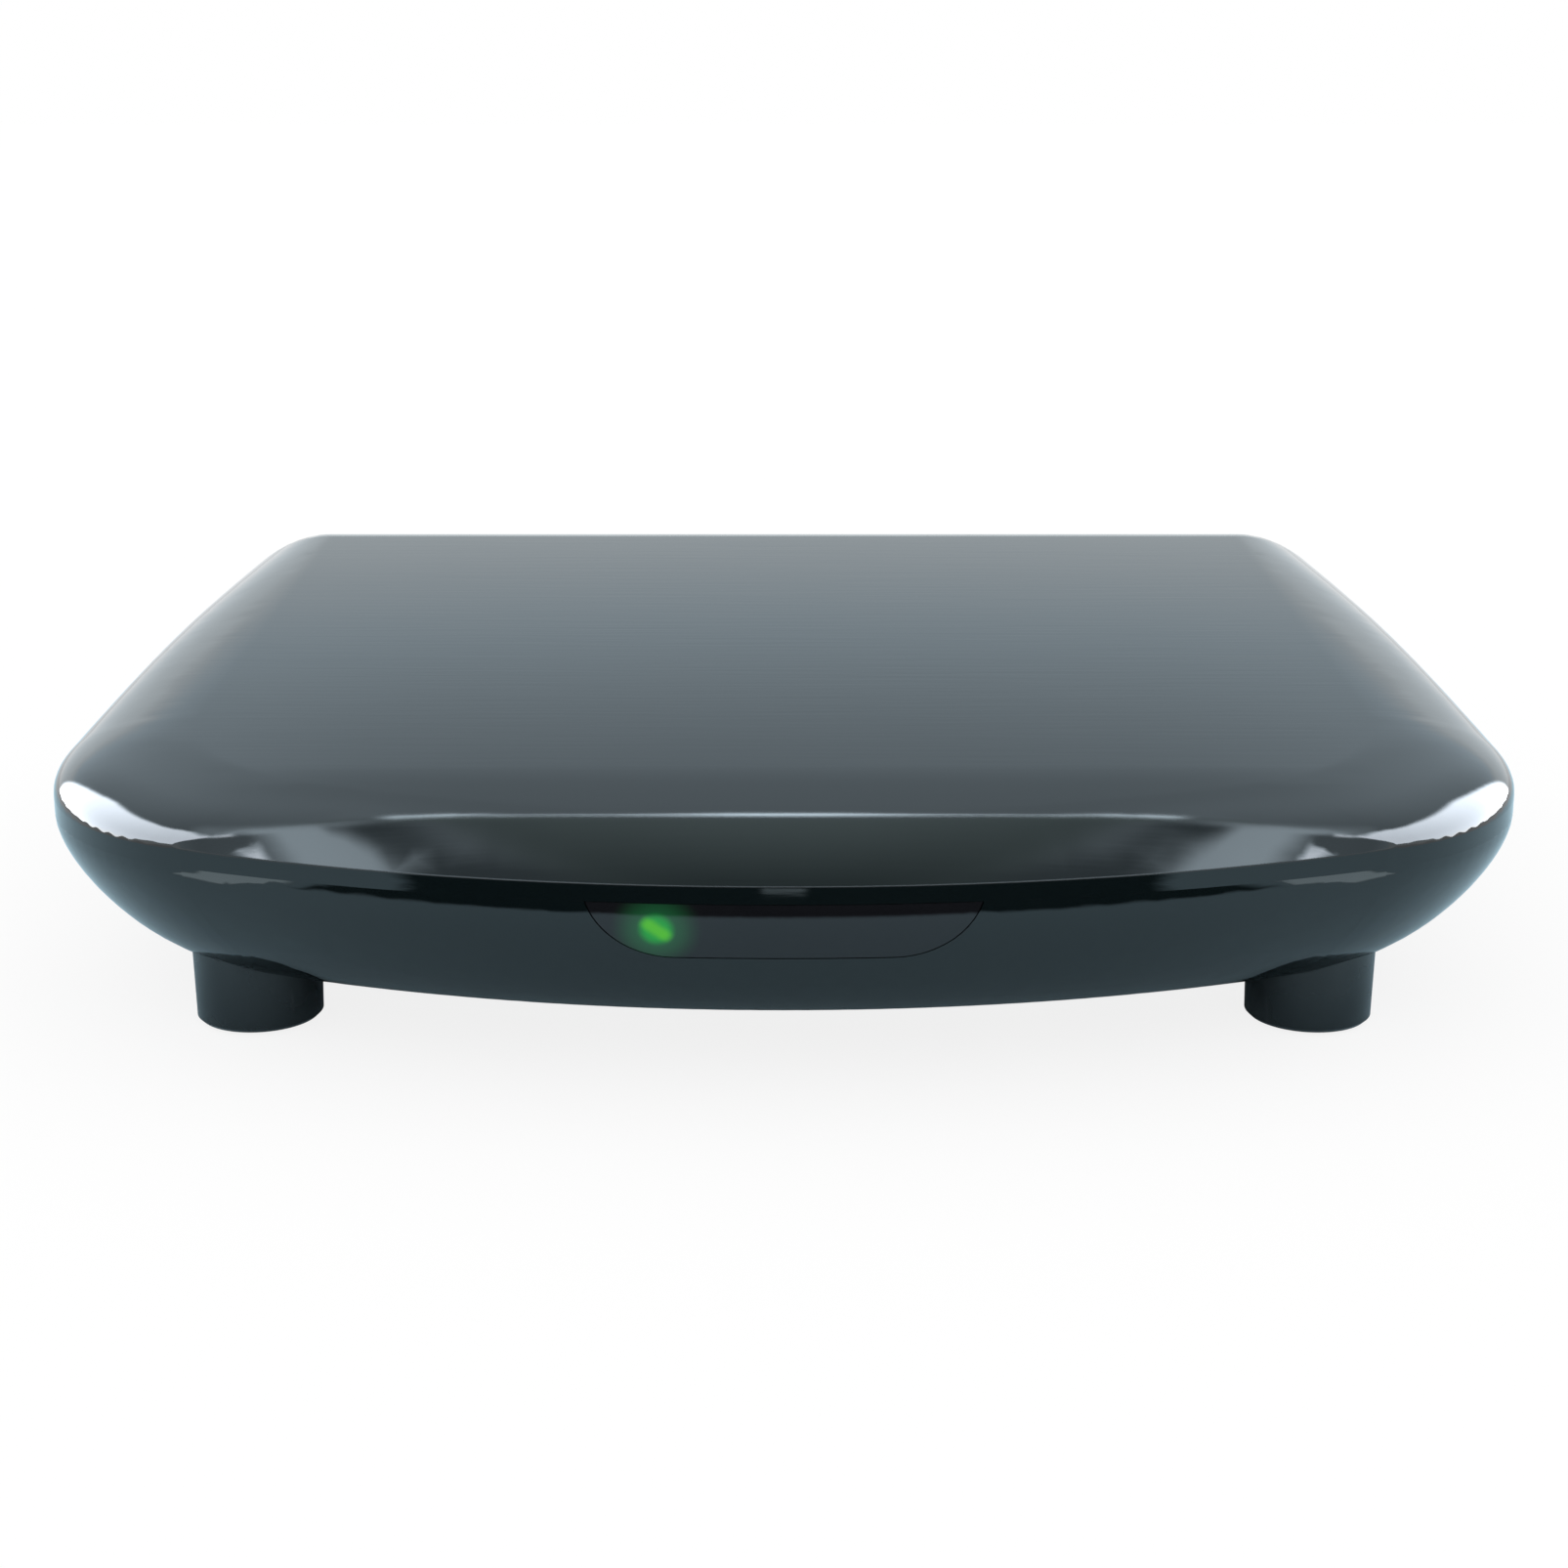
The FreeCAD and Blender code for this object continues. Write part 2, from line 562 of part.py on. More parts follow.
def rear_opening():
    depth = (PANEL_FRONT_Y - BEYOND, BODY_DEPTH + BEYOND)
    cutter = box((-OPENING_HALF_WIDTH, OPENING_HALF_WIDTH), depth, (OPENING_LOW_Z, OPENING_HIGH_Z))
    return cutter.makeFillet(OPENING_RADIUS, lengthwise_edges(cutter))


def make_top_cover():
    cover = cover_form().cut(cover_hollow(WALL, PARTING_Z - BEYOND))
    roof = cover_hollow(WALL / 2, PARTING_Z - BEYOND)
    posts = [
        upright(CASE_BOSS_RADIUS, x, y, (CASE_BOSS_TOP_Z, TOP_REAR_Z)).common(roof)
        for x, y in CASE_SCREW_PLACES
    ]
    cover = cover.fuse(posts)
    pilot = (CASE_BOSS_TOP_Z - PAST, CASE_BOSS_TOP_Z + SCREW_GRIP + PAST)
    holes = [upright(SCREW_CORE_RADIUS, x, y, pilot) for x, y in CASE_SCREW_PLACES]
    return cover.cut(holes + [rear_opening()])


# ---- lower shell ----
def bowl_levels():
    """From the parting line down to the flat underside; the wall starts upright and curves inwards."""
    return [
        level(BELLY_SHARE, BELLY_Z),
        level(1.0, BELLY_DROP_Z, weights=(BELLY_FULLNESS,) * 4),
        level(1.0, PARTING_Z),
    ]


def bowl_form():
    return walled_body(0.0, bowl_levels(), 2)


def hollow_levels(inset):
    low, pull, high = bowl_levels()
    middle = halfway(low, pull, high, (BELLY_FULLNESS, BELLY_FULLNESS))
    return [raised(low, inset), raised(middle, BOWL_HOLLOW_LIFT * inset), high]


def bowl_hollow(inset):
    """The room inside the lower shell by straight slopes, open upwards past the parting line."""
    above = plan_prism(inset, (PARTING_Z, PARTING_Z + BEYOND))
    return joined(walled_body(inset, hollow_levels(inset), 1), above)


def hollow_share(inset, z):
    """The size of the hollow at height z, as a share of its outline at the parting line."""
    levels = hollow_levels(inset)
    for low, high in zip(levels, levels[1:]):
        if low.z[0] <= z <= high.z[0]:
            part_way = (z - low.z[0]) / (high.z[0] - low.z[0])
            return low.share[0] + (high.share[0] - low.share[0]) * part_way
    return 1.0


def hollow_front_y(inset, z):
    """Where the hollow begins at height z, at the middle of the front."""
    return OUTLINE_MIDDLE_Y - hollow_share(inset, z) * (OUTLINE_MIDDLE_Y - inset)


def board_half_width():
    side = BELT_HALF_FRONT - SIDE_TAPER - WALL
    return hollow_share(WALL, BOARD_LOW_Z) * side - BOARD_TO_WALL


def on_board(places):
    """Places given by x and the distance before the board's rear edge, as x and y."""
    return [(x, BOARD_REAR_Y - forward) for x, forward in places]


def board_screw_places():
    left = -board_half_width() + BOARD_SCREW_TO_EDGE
    return on_board(BOARD_SCREWS_INSIDE + ((left, BOARD_SCREW_REAR),))


def window_outline(grow, y_range):
    """Straight sill with one round end each side, open upwards past the parting line."""
    drop = PARTING_Z - WINDOW_SILL_Z
    run = WINDOW_HALF_TOP - WINDOW_HALF_FLAT
    radius = (run ** 2 + drop ** 2) / (2 * drop) + grow
    middle_z = WINDOW_SILL_Z + radius - grow
    sill = middle_z - radius
    high_z = PARTING_Z + (grow if grow > 0 else 0.0)
    angle = math.asin((middle_z - high_z) / radius)
    low_angle = (angle + math.pi / 2) / 2
    ends = []
    for side in (-1, 1):
        points = [
            (WINDOW_HALF_FLAT + radius * math.cos(a), middle_z - radius * math.sin(a))
            for a in (angle, low_angle)
        ]
        points.append((WINDOW_HALF_FLAT, sill))
        ends.append([Vector(side * x, y_range[0], z) for x, z in points])
    left, right = ends
    edges = [
        Part.Arc(*left).toShape(),
        Part.LineSegment(left[2], right[2]).toShape(),
        Part.Arc(right[2], right[1], right[0]).toShape(),
        Part.LineSegment(right[0], left[0]).toShape(),
    ]
    return Part.Face(Part.Wire(edges)).extrude(Vector(0, y_range[1] - y_range[0], 0))


def make_lower_shell():
    shell = bowl_form().cut(bowl_hollow(WALL))
    lip_inset = WALL + JOINT_GAP + LIP_THICKNESS
    adds = [
        plan_ring(WALL - LIP_ROOT, lip_inset, (PARTING_Z - LIP_DEPTH, PARTING_Z)),
        plan_ring(WALL + JOINT_GAP, lip_inset, (PARTING_Z - PAST, PARTING_Z + LIP_HEIGHT)),
    ]
    for x, y in CASE_SCREW_PLACES:
        adds.append(upright(CASE_BOSS_RADIUS, x, y, (BELLY_Z + PAST, CASE_BOSS_TOP_Z)))
    for x, y in board_screw_places():
        adds.append(upright(STANDOFF_RADIUS, x, y, (BELLY_Z + PAST, BOARD_LOW_Z)))
    adds.append(box((-TONGUE_REST_HALF, TONGUE_REST_HALF), TONGUE_REST_Y, (BELLY_Z + PAST, BOARD_LOW_Z)))
    panel_low = OPENING_LOW_Z - PANEL_LAP
    for x in SADDLE_PLACES:
        span = (x - SADDLE_HALF_WIDTH, x + SADDLE_HALF_WIDTH)
        adds.append(box(span, (PANEL_FRONT_Y - SADDLE_DEPTH, INNER_REAR_Y), (BELLY_Z + PAST, panel_low)))
        before_panel = (PANEL_FRONT_Y - SADDLE_DEPTH, PANEL_FRONT_Y)
        adds.append(box(span, before_panel, (BELLY_Z + PAST, panel_low + SADDLE_GRIP)))
    shell = shell.fuse(adds)
    cuts = [rear_opening(), window_outline(0.0, (-BEYOND, WINDOW_ZONE_Y))]
    above_lip = (PARTING_Z - LIP_DEPTH - PAST, PARTING_Z + BEYOND)
    lip_window = box(
        (-WINDOW_HALF_TOP - WINDOW_FLANGE - PAST, WINDOW_HALF_TOP + WINDOW_FLANGE + PAST),
        (WALL - PAST, WINDOW_ZONE_Y),
        above_lip,
    ).common(bowl_hollow(WALL))
    cuts.append(lip_window)
    panel_half = OPENING_HALF_WIDTH + PANEL_LAP + JOINT_GAP
    panel_depth = (PANEL_FRONT_Y - SADDLE_DEPTH, INNER_REAR_Y)
    cuts.append(box((-panel_half, panel_half), panel_depth, above_lip))
    for x, y in CASE_SCREW_PLACES:
        seat = (BELLY_Z - PAST, BELLY_Z + SCREW_SEAT_DEPTH)
        cuts.append(upright(SCREW_HEAD_RADIUS + SCREW_SEAT_GAP, x, y, seat))
        cuts.append(upright(SCREW_HOLE_RADIUS, x, y, (BELLY_Z, CASE_BOSS_TOP_Z + PAST)))
    for x, y in board_screw_places():
        cuts.append(upright(SCREW_CORE_RADIUS, x, y, (BELLY_Z + BOARD_HOLE_FLOOR, BOARD_LOW_Z + PAST)))
    for x, y in foot_places():
        cuts.append(peg(x, y, PEG_CLEARANCE, (BELLY_Z - PAST, FLOOR_Z + PAST)))
    for row in (0, 1):
        front = BOARD_REAR_Y - VENT_TO_BOARD_REAR + row * (VENT_LENGTH + VENT_ROW_GAP)
        for i in range(VENT_COUNT):
            x = (i - (VENT_COUNT - 1) / 2) * VENT_PITCH
            x_range = (x - VENT_WIDTH / 2, x + VENT_WIDTH / 2)
            cuts.append(box(x_range, (front, front + VENT_LENGTH), (0.0, FLOOR_Z + PAST)))
    return shell.cut(cuts)


def make_window():
    """The dark lens: a front that fills the cut-out, and a flange that laps behind the wall."""
    zone = (-BEYOND, WINDOW_ZONE_Y)
    fill = window_outline(-JOINT_GAP, zone)
    below_parting = box((-BELT_HALF_FRONT, BELT_HALF_FRONT), zone, (0.0, PARTING_Z))
    seat = WALL + WINDOW_SEAT_GAP
    front = bowl_form().cut(bowl_hollow(seat)).common(fill)
    flange = bowl_hollow(seat).cut(bowl_hollow(seat + WINDOW_FLANGE_THICKNESS))
    flange = flange.common(window_outline(WINDOW_FLANGE, zone))
    return joined(front, flange).common(below_parting)


# ---- feet ----
def foot_places():
    return [(side * FOOT_X, y) for y in (FOOT_FRONT_Y, FOOT_REAR_Y) for side in (-1, 1)]


def peg(x, y, grow, z_range):
    half = PEG_SIDE / 2 + grow
    return box((x - half, x + half), (y - half, y + half), z_range)


def make_foot(x, y):
    """A drafted stub that follows the curved underside, with a peg into the floor and a pad seat below."""
    stub = Part.makeCone(FOOT_BOTTOM_RADIUS, FOOT_TOP_RADIUS, FOOT_CONE_HEIGHT, Vector(x, y, PAD_PROUD))
    rim = [e for e in stub.Edges if e.BoundBox.ZMax < PAD_PROUD + NEAR]
    stub = stub.makeChamfer(FOOT_EDGE, rim)
    stub = stub.cut(bowl_form())
    seat = upright(PAD_RADIUS, x, y, (0.0, PAD_THICKNESS))
    return joined(stub, peg(x, y, 0.0, (BELLY_Z - PAST, FLOOR_Z))).cut(seat)


def make_pads():
    return Part.Compound([upright(PAD_RADIUS, x, y, (0.0, PAD_THICKNESS)) for x, y in foot_places()])


# ---- screws ----
def screw(x, y, seat_z, tip_z, head_radius, head_height):
    """A plain head on seat_z and a six-sided core, as long as the thread, that ends at tip_z."""
    toward_tip = 1.0 if tip_z > seat_z else -1.0
    far_z = seat_z - toward_tip * head_height
    head = upright(head_radius, x, y, (min(seat_z, far_z), max(seat_z, far_z)))
    points = [Vector(x + SCREW_CORE_RADIUS * c, y + SCREW_CORE_RADIUS * s, seat_z) for c, s in HEXAGON]
    core = Part.Face(Part.makePolygon(points)).extrude(Vector(0, 0, tip_z - seat_z))
    return joined(head, core)


def make_case_screws():
    seat_z = BELLY_Z + SCREW_SEAT_DEPTH
    tip_z = CASE_BOSS_TOP_Z + SCREW_GRIP
    return Part.Compound([
        screw(x, y, seat_z, tip_z, SCREW_HEAD_RADIUS, SCREW_HEAD_HEIGHT) for x, y in CASE_SCREW_PLACES
    ])


def make_board_screws():
    tip_z = BELLY_Z + BOARD_SCREW_FLOOR
    return Part.Compound([
        screw(x, y, BOARD_Z, tip_z, BOARD_SCREW_HEAD_RADIUS, BOARD_SCREW_HEAD_HEIGHT)
        for x, y in board_screw_places()
    ])


# ---- rear panel ----
def make_rear_panel():
    """A flat plate held behind the opening in both shells, cut out round every connector."""
    half = OPENING_HALF_WIDTH + PANEL_LAP
    sheet = (PANEL_FRONT_Y, INNER_REAR_Y)
    plate = box((-half, half), sheet, (OPENING_LOW_Z - PANEL_LAP, OPENING_HIGH_Z + PANEL_LAP))
    plate = plate.makeFillet(OPENING_RADIUS, lengthwise_edges(plate))
    above_bowl = box((-half, half), sheet, (PARTING_Z, TOP_REAR_Z))
    plate = plate.common(bowl_hollow(WALL + JOINT_GAP).fuse(above_bowl))
    through = (PANEL_FRONT_Y - PAST, INNER_REAR_Y + PAST)
    gap = PANEL_HOLE_GAP

    def window(x, width, low_z, height):
        return box((x - width / 2 - gap, x + width / 2 + gap), through, (low_z - gap, low_z + height + gap))

    nose = (SCART_WIDTH - 2 * SCART_FLANGE, SCART_HEIGHT - 2 * SCART_FLANGE)
    holes = [
        window(USB_X, USB_WIDTH, BOARD_Z, USB_HEIGHT),
        window(HDMI_X, HDMI_WIDTH, BOARD_Z, HDMI_HEIGHT),
        window(SCART_X, nose[0], BOARD_Z + SCART_FLANGE, nose[1]),
        window(POWER_X, POWER_WIDTH, BOARD_Z, POWER_HEIGHT),
        window(SWITCH_X, SWITCH_WIDTH - gap, SWITCH_Z - SWITCH_HEIGHT / 2 + gap / 2, SWITCH_HEIGHT - gap),
        lying(AUDIO_RADIUS + NECK_STEP + gap, AUDIO_X, BOARD_Z + AUDIO_AXIS_HEIGHT, through),
    ]
    holes += [lying(AERIAL_RADIUS + NECK_STEP + gap, x, AERIAL_Z, through) for x in AERIAL_PLACES]
    return plate.cut(holes)


# ---- main board ----
def make_main_board():
    half = board_half_width()
    tongue = TONGUE_HALF_WIDTH
    shoulder = tongue + TONGUE_CHAMFER
    right = [
        (tongue, TONGUE_FRONT_Y), (tongue, BOARD_FRONT_Y - TONGUE_CHAMFER), (shoulder, BOARD_FRONT_Y),
        (half, BOARD_FRONT_Y), (half, BOARD_REAR_Y),
    ]
    outline = right + [(-x, y) for x, y in reversed(right)]
    points = [Vector(x, y, BOARD_LOW_Z) for x, y in outline + outline[:1]]
    board = Part.Face(Part.makePolygon(points)).extrude(Vector(0, 0, BOARD_THICKNESS))
    through = (BOARD_LOW_Z - PAST, BOARD_Z + PAST)
    holes = [upright(BOARD_HOLE_RADIUS, x, y, through) for x, y in board_screw_places()]
    relief = CASE_BOSS_RADIUS + BOSS_CLEARANCE
    for side in (-1, 1):
        x, y = side * CASE_SCREW_X, CASE_SCREW_REAR_Y
        holes.append(upright(relief, x, y, through))
        edge = sorted((x, side * (half + PAST)))
        holes.append(box(edge, (y - relief, y + relief), through))
    return board.cut(holes)


# ---- tuner ----
def make_tuner_can():
    """A tinned sheet frame with a partition, open above and below."""
    x_range = (TUNER_X - TUNER_WIDTH / 2, TUNER_X + TUNER_WIDTH / 2)
    y_range = (TUNER_REAR_Y - TUNER_DEPTH, TUNER_REAR_Y)
    z_range = (BOARD_Z, BOARD_Z + TUNER_HEIGHT)
    sheet = TUNER_SHEET
    hollow = box(
        (x_range[0] + sheet, x_range[1] - sheet), (y_range[0] + sheet, y_range[1] - sheet),
        (z_range[0] - PAST, z_range[1] + PAST),
    )
    partition = box((TUNER_X - sheet / 2, TUNER_X + sheet / 2), y_range, z_range)
    can = box(x_range, y_range, z_range).cut(hollow).fuse(partition)
    for x in AERIAL_PLACES:
        can = can.cut(lying(AERIAL_BORE_RADIUS, x, AERIAL_Z, (y_range[1] - PAST, y_range[1] + PAST)))
    return can


def make_tuner_lid():
    sheet = TUNER_SHEET
    x_range = (TUNER_X - TUNER_WIDTH / 2 - sheet, TUNER_X + TUNER_WIDTH / 2 + sheet)
    y_range = (TUNER_REAR_Y - TUNER_DEPTH - sheet, TUNER_REAR_Y)
    top_z = BOARD_Z + TUNER_HEIGHT
    lid = box(x_range, y_range, (top_z - LID_SKIRT, top_z + sheet))
    inner_x = (x_range[0] + sheet, x_range[1] - sheet)
    return lid.cut(box(inner_x, (y_range[0] + sheet, y_range[1] + PAST), (0.0, top_z)))


def make_aerial_connector(x):
    """A barrel whose neck passes the panel and the nut, with a bore for the insulator."""
    tip_y = BODY_DEPTH + AERIAL_REACH
    barrel = lying(AERIAL_RADIUS, x, AERIAL_Z, (TUNER_REAR_Y, tip_y))
    tip = [e for e in barrel.Edges if abs(e.BoundBox.YMin - tip_y) < NEAR]
    barrel = barrel.makeChamfer(BARREL_CHAMFER, tip)
    neck = lying(AERIAL_RADIUS + NECK_STEP, x, AERIAL_Z, (TUNER_REAR_Y, INNER_REAR_Y + NUT_THICKNESS))
    bore = lying(AERIAL_BORE_RADIUS, x, AERIAL_Z, (TUNER_REAR_Y - PAST, tip_y + PAST))
    return joined(barrel, neck).cut(bore)


def make_aerial_insulators():
    solids = []
    tip_y = BODY_DEPTH + AERIAL_REACH - INSULATOR_RECESS
    for x in AERIAL_PLACES:
        plug = lying(AERIAL_BORE_RADIUS, x, AERIAL_Z, (TUNER_REAR_Y - TUNER_SHEET, tip_y))
        hole = lying(AERIAL_CONTACT_RADIUS, x, AERIAL_Z, (tip_y - CONTACT_DEPTH, tip_y + PAST))
        solids.append(plug.cut(hole))
    return Part.Compound(solids)


def make_aerial_nuts():
    nuts = []
    start = INNER_REAR_Y
    corner = NUT_ACROSS_FLATS / math.sqrt(3.0)
    for x in AERIAL_PLACES:
        points = [Vector(x + corner * c, start, AERIAL_Z + corner * s) for c, s in HEXAGON]
        nut = Part.Face(Part.makePolygon(points)).extrude(Vector(0, NUT_THICKNESS, 0))
        bore = (start - PAST, start + NUT_THICKNESS + PAST)
        nuts.append(nut.cut(lying(AERIAL_RADIUS + NECK_STEP, x, AERIAL_Z, bore)))
    return Part.Compound(nuts)


# ---- sockets ----
def sheet_shell(x, width, height, depth, chamfer):
    """A folded sheet sleeve on the board, open at the rear; chamfer trims its two lower corners."""
    rear_y = INNER_REAR_Y
    y_range = (rear_y - depth, rear_y)

    def profile(inset):
        half = width / 2 - inset
        low = BOARD_Z + inset
        high = BOARD_Z + height - inset
        cut = max(chamfer - inset * CHAMFER_SHRINK, 0.0)
        left = [(-half, high), (-half, low + cut), (-half + cut, low)]
        points = left + [(-px, pz) for px, pz in reversed(left)]
        return [p for i, p in enumerate(points) if i == 0 or p != points[i - 1]]

    def prism(inset, start, end):
        points = [Vector(x + px, start, pz) for px, pz in profile(inset)]
        return Part.Face(Part.makePolygon(points + points[:1])).extrude(Vector(0, end - start, 0))

    return prism(0.0, *y_range).cut(prism(SHELL_SHEET, y_range[0] + SHELL_SHEET, rear_y + PAST))


def make_usb_shell():
    return sheet_shell(USB_X, USB_WIDTH, USB_HEIGHT, USB_DEPTH, 0.0)


def make_usb_tongue():
    """The plastic core with its contact tongue in the upper half of the mouth."""
    front = INNER_REAR_Y - USB_DEPTH + SHELL_SHEET
    half = USB_WIDTH / 2 - SHELL_SHEET
    low = BOARD_Z + SHELL_SHEET
    high = BOARD_Z + USB_HEIGHT - SHELL_SHEET
    core = box((USB_X - half, USB_X + half), (front, front + USB_CORE_DEPTH), (low, high))
    half -= TONGUE_RECESS
    tongue_high = high - USB_TONGUE_DROP
    tongue_y = (front + USB_CORE_DEPTH, INNER_REAR_Y - TONGUE_RECESS)
    tongue = box((USB_X - half, USB_X + half), tongue_y, (tongue_high - USB_TONGUE, tongue_high))
    return joined(core, tongue)


def make_hdmi_shell():
    return sheet_shell(HDMI_X, HDMI_WIDTH, HDMI_HEIGHT, HDMI_DEPTH, HDMI_CHAMFER)


def make_hdmi_tongue():
    front = INNER_REAR_Y - HDMI_DEPTH + SHELL_SHEET
    half = HDMI_WIDTH / 2 - SHELL_SHEET - HDMI_CHAMFER
    low = BOARD_Z + SHELL_SHEET
    high = BOARD_Z + HDMI_HEIGHT - SHELL_SHEET
    core = box((HDMI_X - half, HDMI_X + half), (front, front + HDMI_CORE_DEPTH), (low, high))
    middle = (low + high) / 2
    tongue_y = (front + HDMI_CORE_DEPTH, INNER_REAR_Y - TONGUE_RECESS)
    tongue_z = (middle - HDMI_TONGUE / 2, middle + HDMI_TONGUE / 2)
    return joined(core, box((HDMI_X - half, HDMI_X + half), tongue_y, tongue_z))


def scart_profile(grow, y):
    """The outline of the plug's skirt, with one slanted end, as seen from behind."""
    half = SCART_WIDTH / 2 - SCART_MARGIN + grow
    low = BOARD_Z + SCART_MARGIN - grow
    high = BOARD_Z + SCART_HEIGHT - SCART_MARGIN + grow
    corners = [
        (-half, low), (half, low), (half, high - SCART_SLANT), (half - SCART_SLANT, high), (-half, high),
    ]
    points = [Vector(SCART_X + x, y, z) for x, z in corners]
    return Part.Face(Part.makePolygon(points + points[:1]))


def make_scart_socket():
    """A moulded block with a groove for the plug's skirt round a core with two rows of contact slots."""
    half = SCART_WIDTH / 2
    base = box(
        (SCART_X - half, SCART_X + half), (INNER_REAR_Y - SCART_DEPTH, PANEL_FRONT_Y - SOCKET_TO_PANEL),
        (BOARD_Z, BOARD_Z + SCART_HEIGHT),
    )
    mouth_y = INNER_REAR_Y + SCART_PROUD
    half -= SCART_FLANGE
    nose = box(
        (SCART_X - half, SCART_X + half), (PANEL_FRONT_Y - PAST, mouth_y),
        (BOARD_Z + SCART_FLANGE, BOARD_Z + SCART_HEIGHT - SCART_FLANGE),
    )
    groove_y = mouth_y - SCART_GROOVE_DEPTH
    groove = scart_profile(SCART_GROOVE / 2, groove_y).extrude(Vector(0, SCART_GROOVE_DEPTH + PAST, 0))
    core = scart_profile(-SCART_GROOVE / 2, groove_y).extrude(Vector(0, SCART_GROOVE_DEPTH, 0))
    socket = joined(base, nose).cut(groove.cut(core))
    return socket.cut(scart_slots(SCART_SLOT_GAP, mouth_y - SCART_GROOVE_DEPTH, mouth_y + PAST))


def scart_slots(gap, start, end):
    slots = []
    middle_z = BOARD_Z + SCART_HEIGHT / 2
    width = SCART_BLADE[0] / 2 + gap
    height = SCART_BLADE[2] / 2 + gap
    for row in (-1, 1):
        for i in range(SCART_CONTACTS):
            x = SCART_X + (i - (SCART_CONTACTS - 1) / 2 + row * SCART_STAGGER) * SCART_PITCH
            z = middle_z + row * SCART_ROW_OFFSET
            slots.append(box((x - width, x + width), (start, end), (z - height, z + height)))
    return slots


def make_scart_contacts():
    start = INNER_REAR_Y + SCART_PROUD - SCART_GROOVE_DEPTH
    return Part.Compound(scart_slots(0.0, start, start + SCART_BLADE[1]))


def make_audio_body():
    """A moulded block with a plastic insert that fills the barrel round the centre contact."""
    z = BOARD_Z + AUDIO_AXIS_HEIGHT
    rear_y = PANEL_FRONT_Y - SOCKET_TO_PANEL
    tip_y = BODY_DEPTH + AUDIO_REACH
    body = box(
        (AUDIO_X - AUDIO_BODY / 2, AUDIO_X + AUDIO_BODY / 2), (rear_y - AUDIO_DEPTH, rear_y),
        (BOARD_Z, z + AUDIO_BODY / 2),
    )
    body = body.makeFillet(BLOCK_ROUNDING, upper_lengthwise_edges(body))
    insert = lying(AUDIO_RADIUS - AUDIO_WALL, AUDIO_X, z, (rear_y - PAST, tip_y - INSULATOR_RECESS))
    mouth = lying(AUDIO_BORE_RADIUS, AUDIO_X, z, (tip_y - AUDIO_BORE_DEPTH, tip_y))
    return joined(body, insert).cut(mouth)


def make_audio_barrel():
    z = BOARD_Z + AUDIO_AXIS_HEIGHT
    rear_y = PANEL_FRONT_Y - SOCKET_TO_PANEL
    tip_y = BODY_DEPTH + AUDIO_REACH
    barrel = lying(AUDIO_RADIUS, AUDIO_X, z, (rear_y, tip_y))
    neck = lying(AUDIO_RADIUS + NECK_STEP, AUDIO_X, z, (rear_y, INNER_REAR_Y + NECK_OUT))
    bore = lying(AUDIO_RADIUS - AUDIO_WALL, AUDIO_X, z, (rear_y - PAST, tip_y + PAST))
    return joined(barrel, neck).cut(bore)


def upper_lengthwise_edges(body):
    """The two top edges of a block that run from front to back."""
    return [e for e in lengthwise_edges(body) if e.BoundBox.ZMin > body.BoundBox.ZMax - NEAR]


def make_power_inlet():
    z = BOARD_Z + POWER_AXIS_HEIGHT
    body = block(POWER_X, INNER_REAR_Y - POWER_DEPTH / 2, BOARD_Z, (POWER_WIDTH, POWER_DEPTH, POWER_HEIGHT))
    body = body.makeFillet(BLOCK_ROUNDING, upper_lengthwise_edges(body))
    bore = lying(POWER_BORE_RADIUS, POWER_X, z, (INNER_REAR_Y - POWER_BORE_DEPTH, INNER_REAR_Y + PAST))
    return body.cut(bore)


def make_power_pin():
    z = BOARD_Z + POWER_AXIS_HEIGHT
    y_range = (INNER_REAR_Y - POWER_BORE_DEPTH, INNER_REAR_Y - POWER_PIN_RECESS)
    return lying(POWER_PIN_RADIUS, POWER_X, z, y_range)


# ---- on and off switch ----
def make_switch_housing():
    """A snap-in box with a bezel on the panel, open to the rear, with two bearing holes for the rocker."""
    x_range = (SWITCH_X - SWITCH_WIDTH / 2, SWITCH_X + SWITCH_WIDTH / 2)
    z_range = (SWITCH_Z - SWITCH_HEIGHT / 2, SWITCH_Z + SWITCH_HEIGHT / 2)
    front_y = INNER_REAR_Y - SWITCH_DEPTH
    face_y = INNER_REAR_Y + SWITCH_BEZEL_THICKNESS
    body = box(x_range, (front_y, INNER_REAR_Y + SWITCH_BODY_LAP), z_range)
    bezel = box(
        (x_range[0] - SWITCH_BEZEL, x_range[1] + SWITCH_BEZEL), (INNER_REAR_Y, face_y),
        (z_range[0] - SWITCH_BEZEL, z_range[1] + SWITCH_BEZEL),
    )
    rim = [e for e in bezel.Edges if e.BoundBox.YMin > face_y - NEAR]
    bezel = bezel.makeChamfer(SWITCH_BEZEL_CHAMFER, rim)
    hollow = box(
        (x_range[0] + SWITCH_WALL, x_range[1] - SWITCH_WALL), (front_y + SWITCH_WALL, face_y + PAST),
        (z_range[0] + SWITCH_WALL, z_range[1] - SWITCH_WALL),
    )
    bearing = Part.makeCylinder(
        ROCKER_PIN_RADIUS + ROCKER_PIN_CLEARANCE, SWITCH_WIDTH + 2 * PAST,
        Vector(x_range[0] - PAST, ROCKER_AXIS_Y, SWITCH_Z), Vector(1, 0, 0),
    )
    return joined(body, bezel).cut([hollow, bearing])


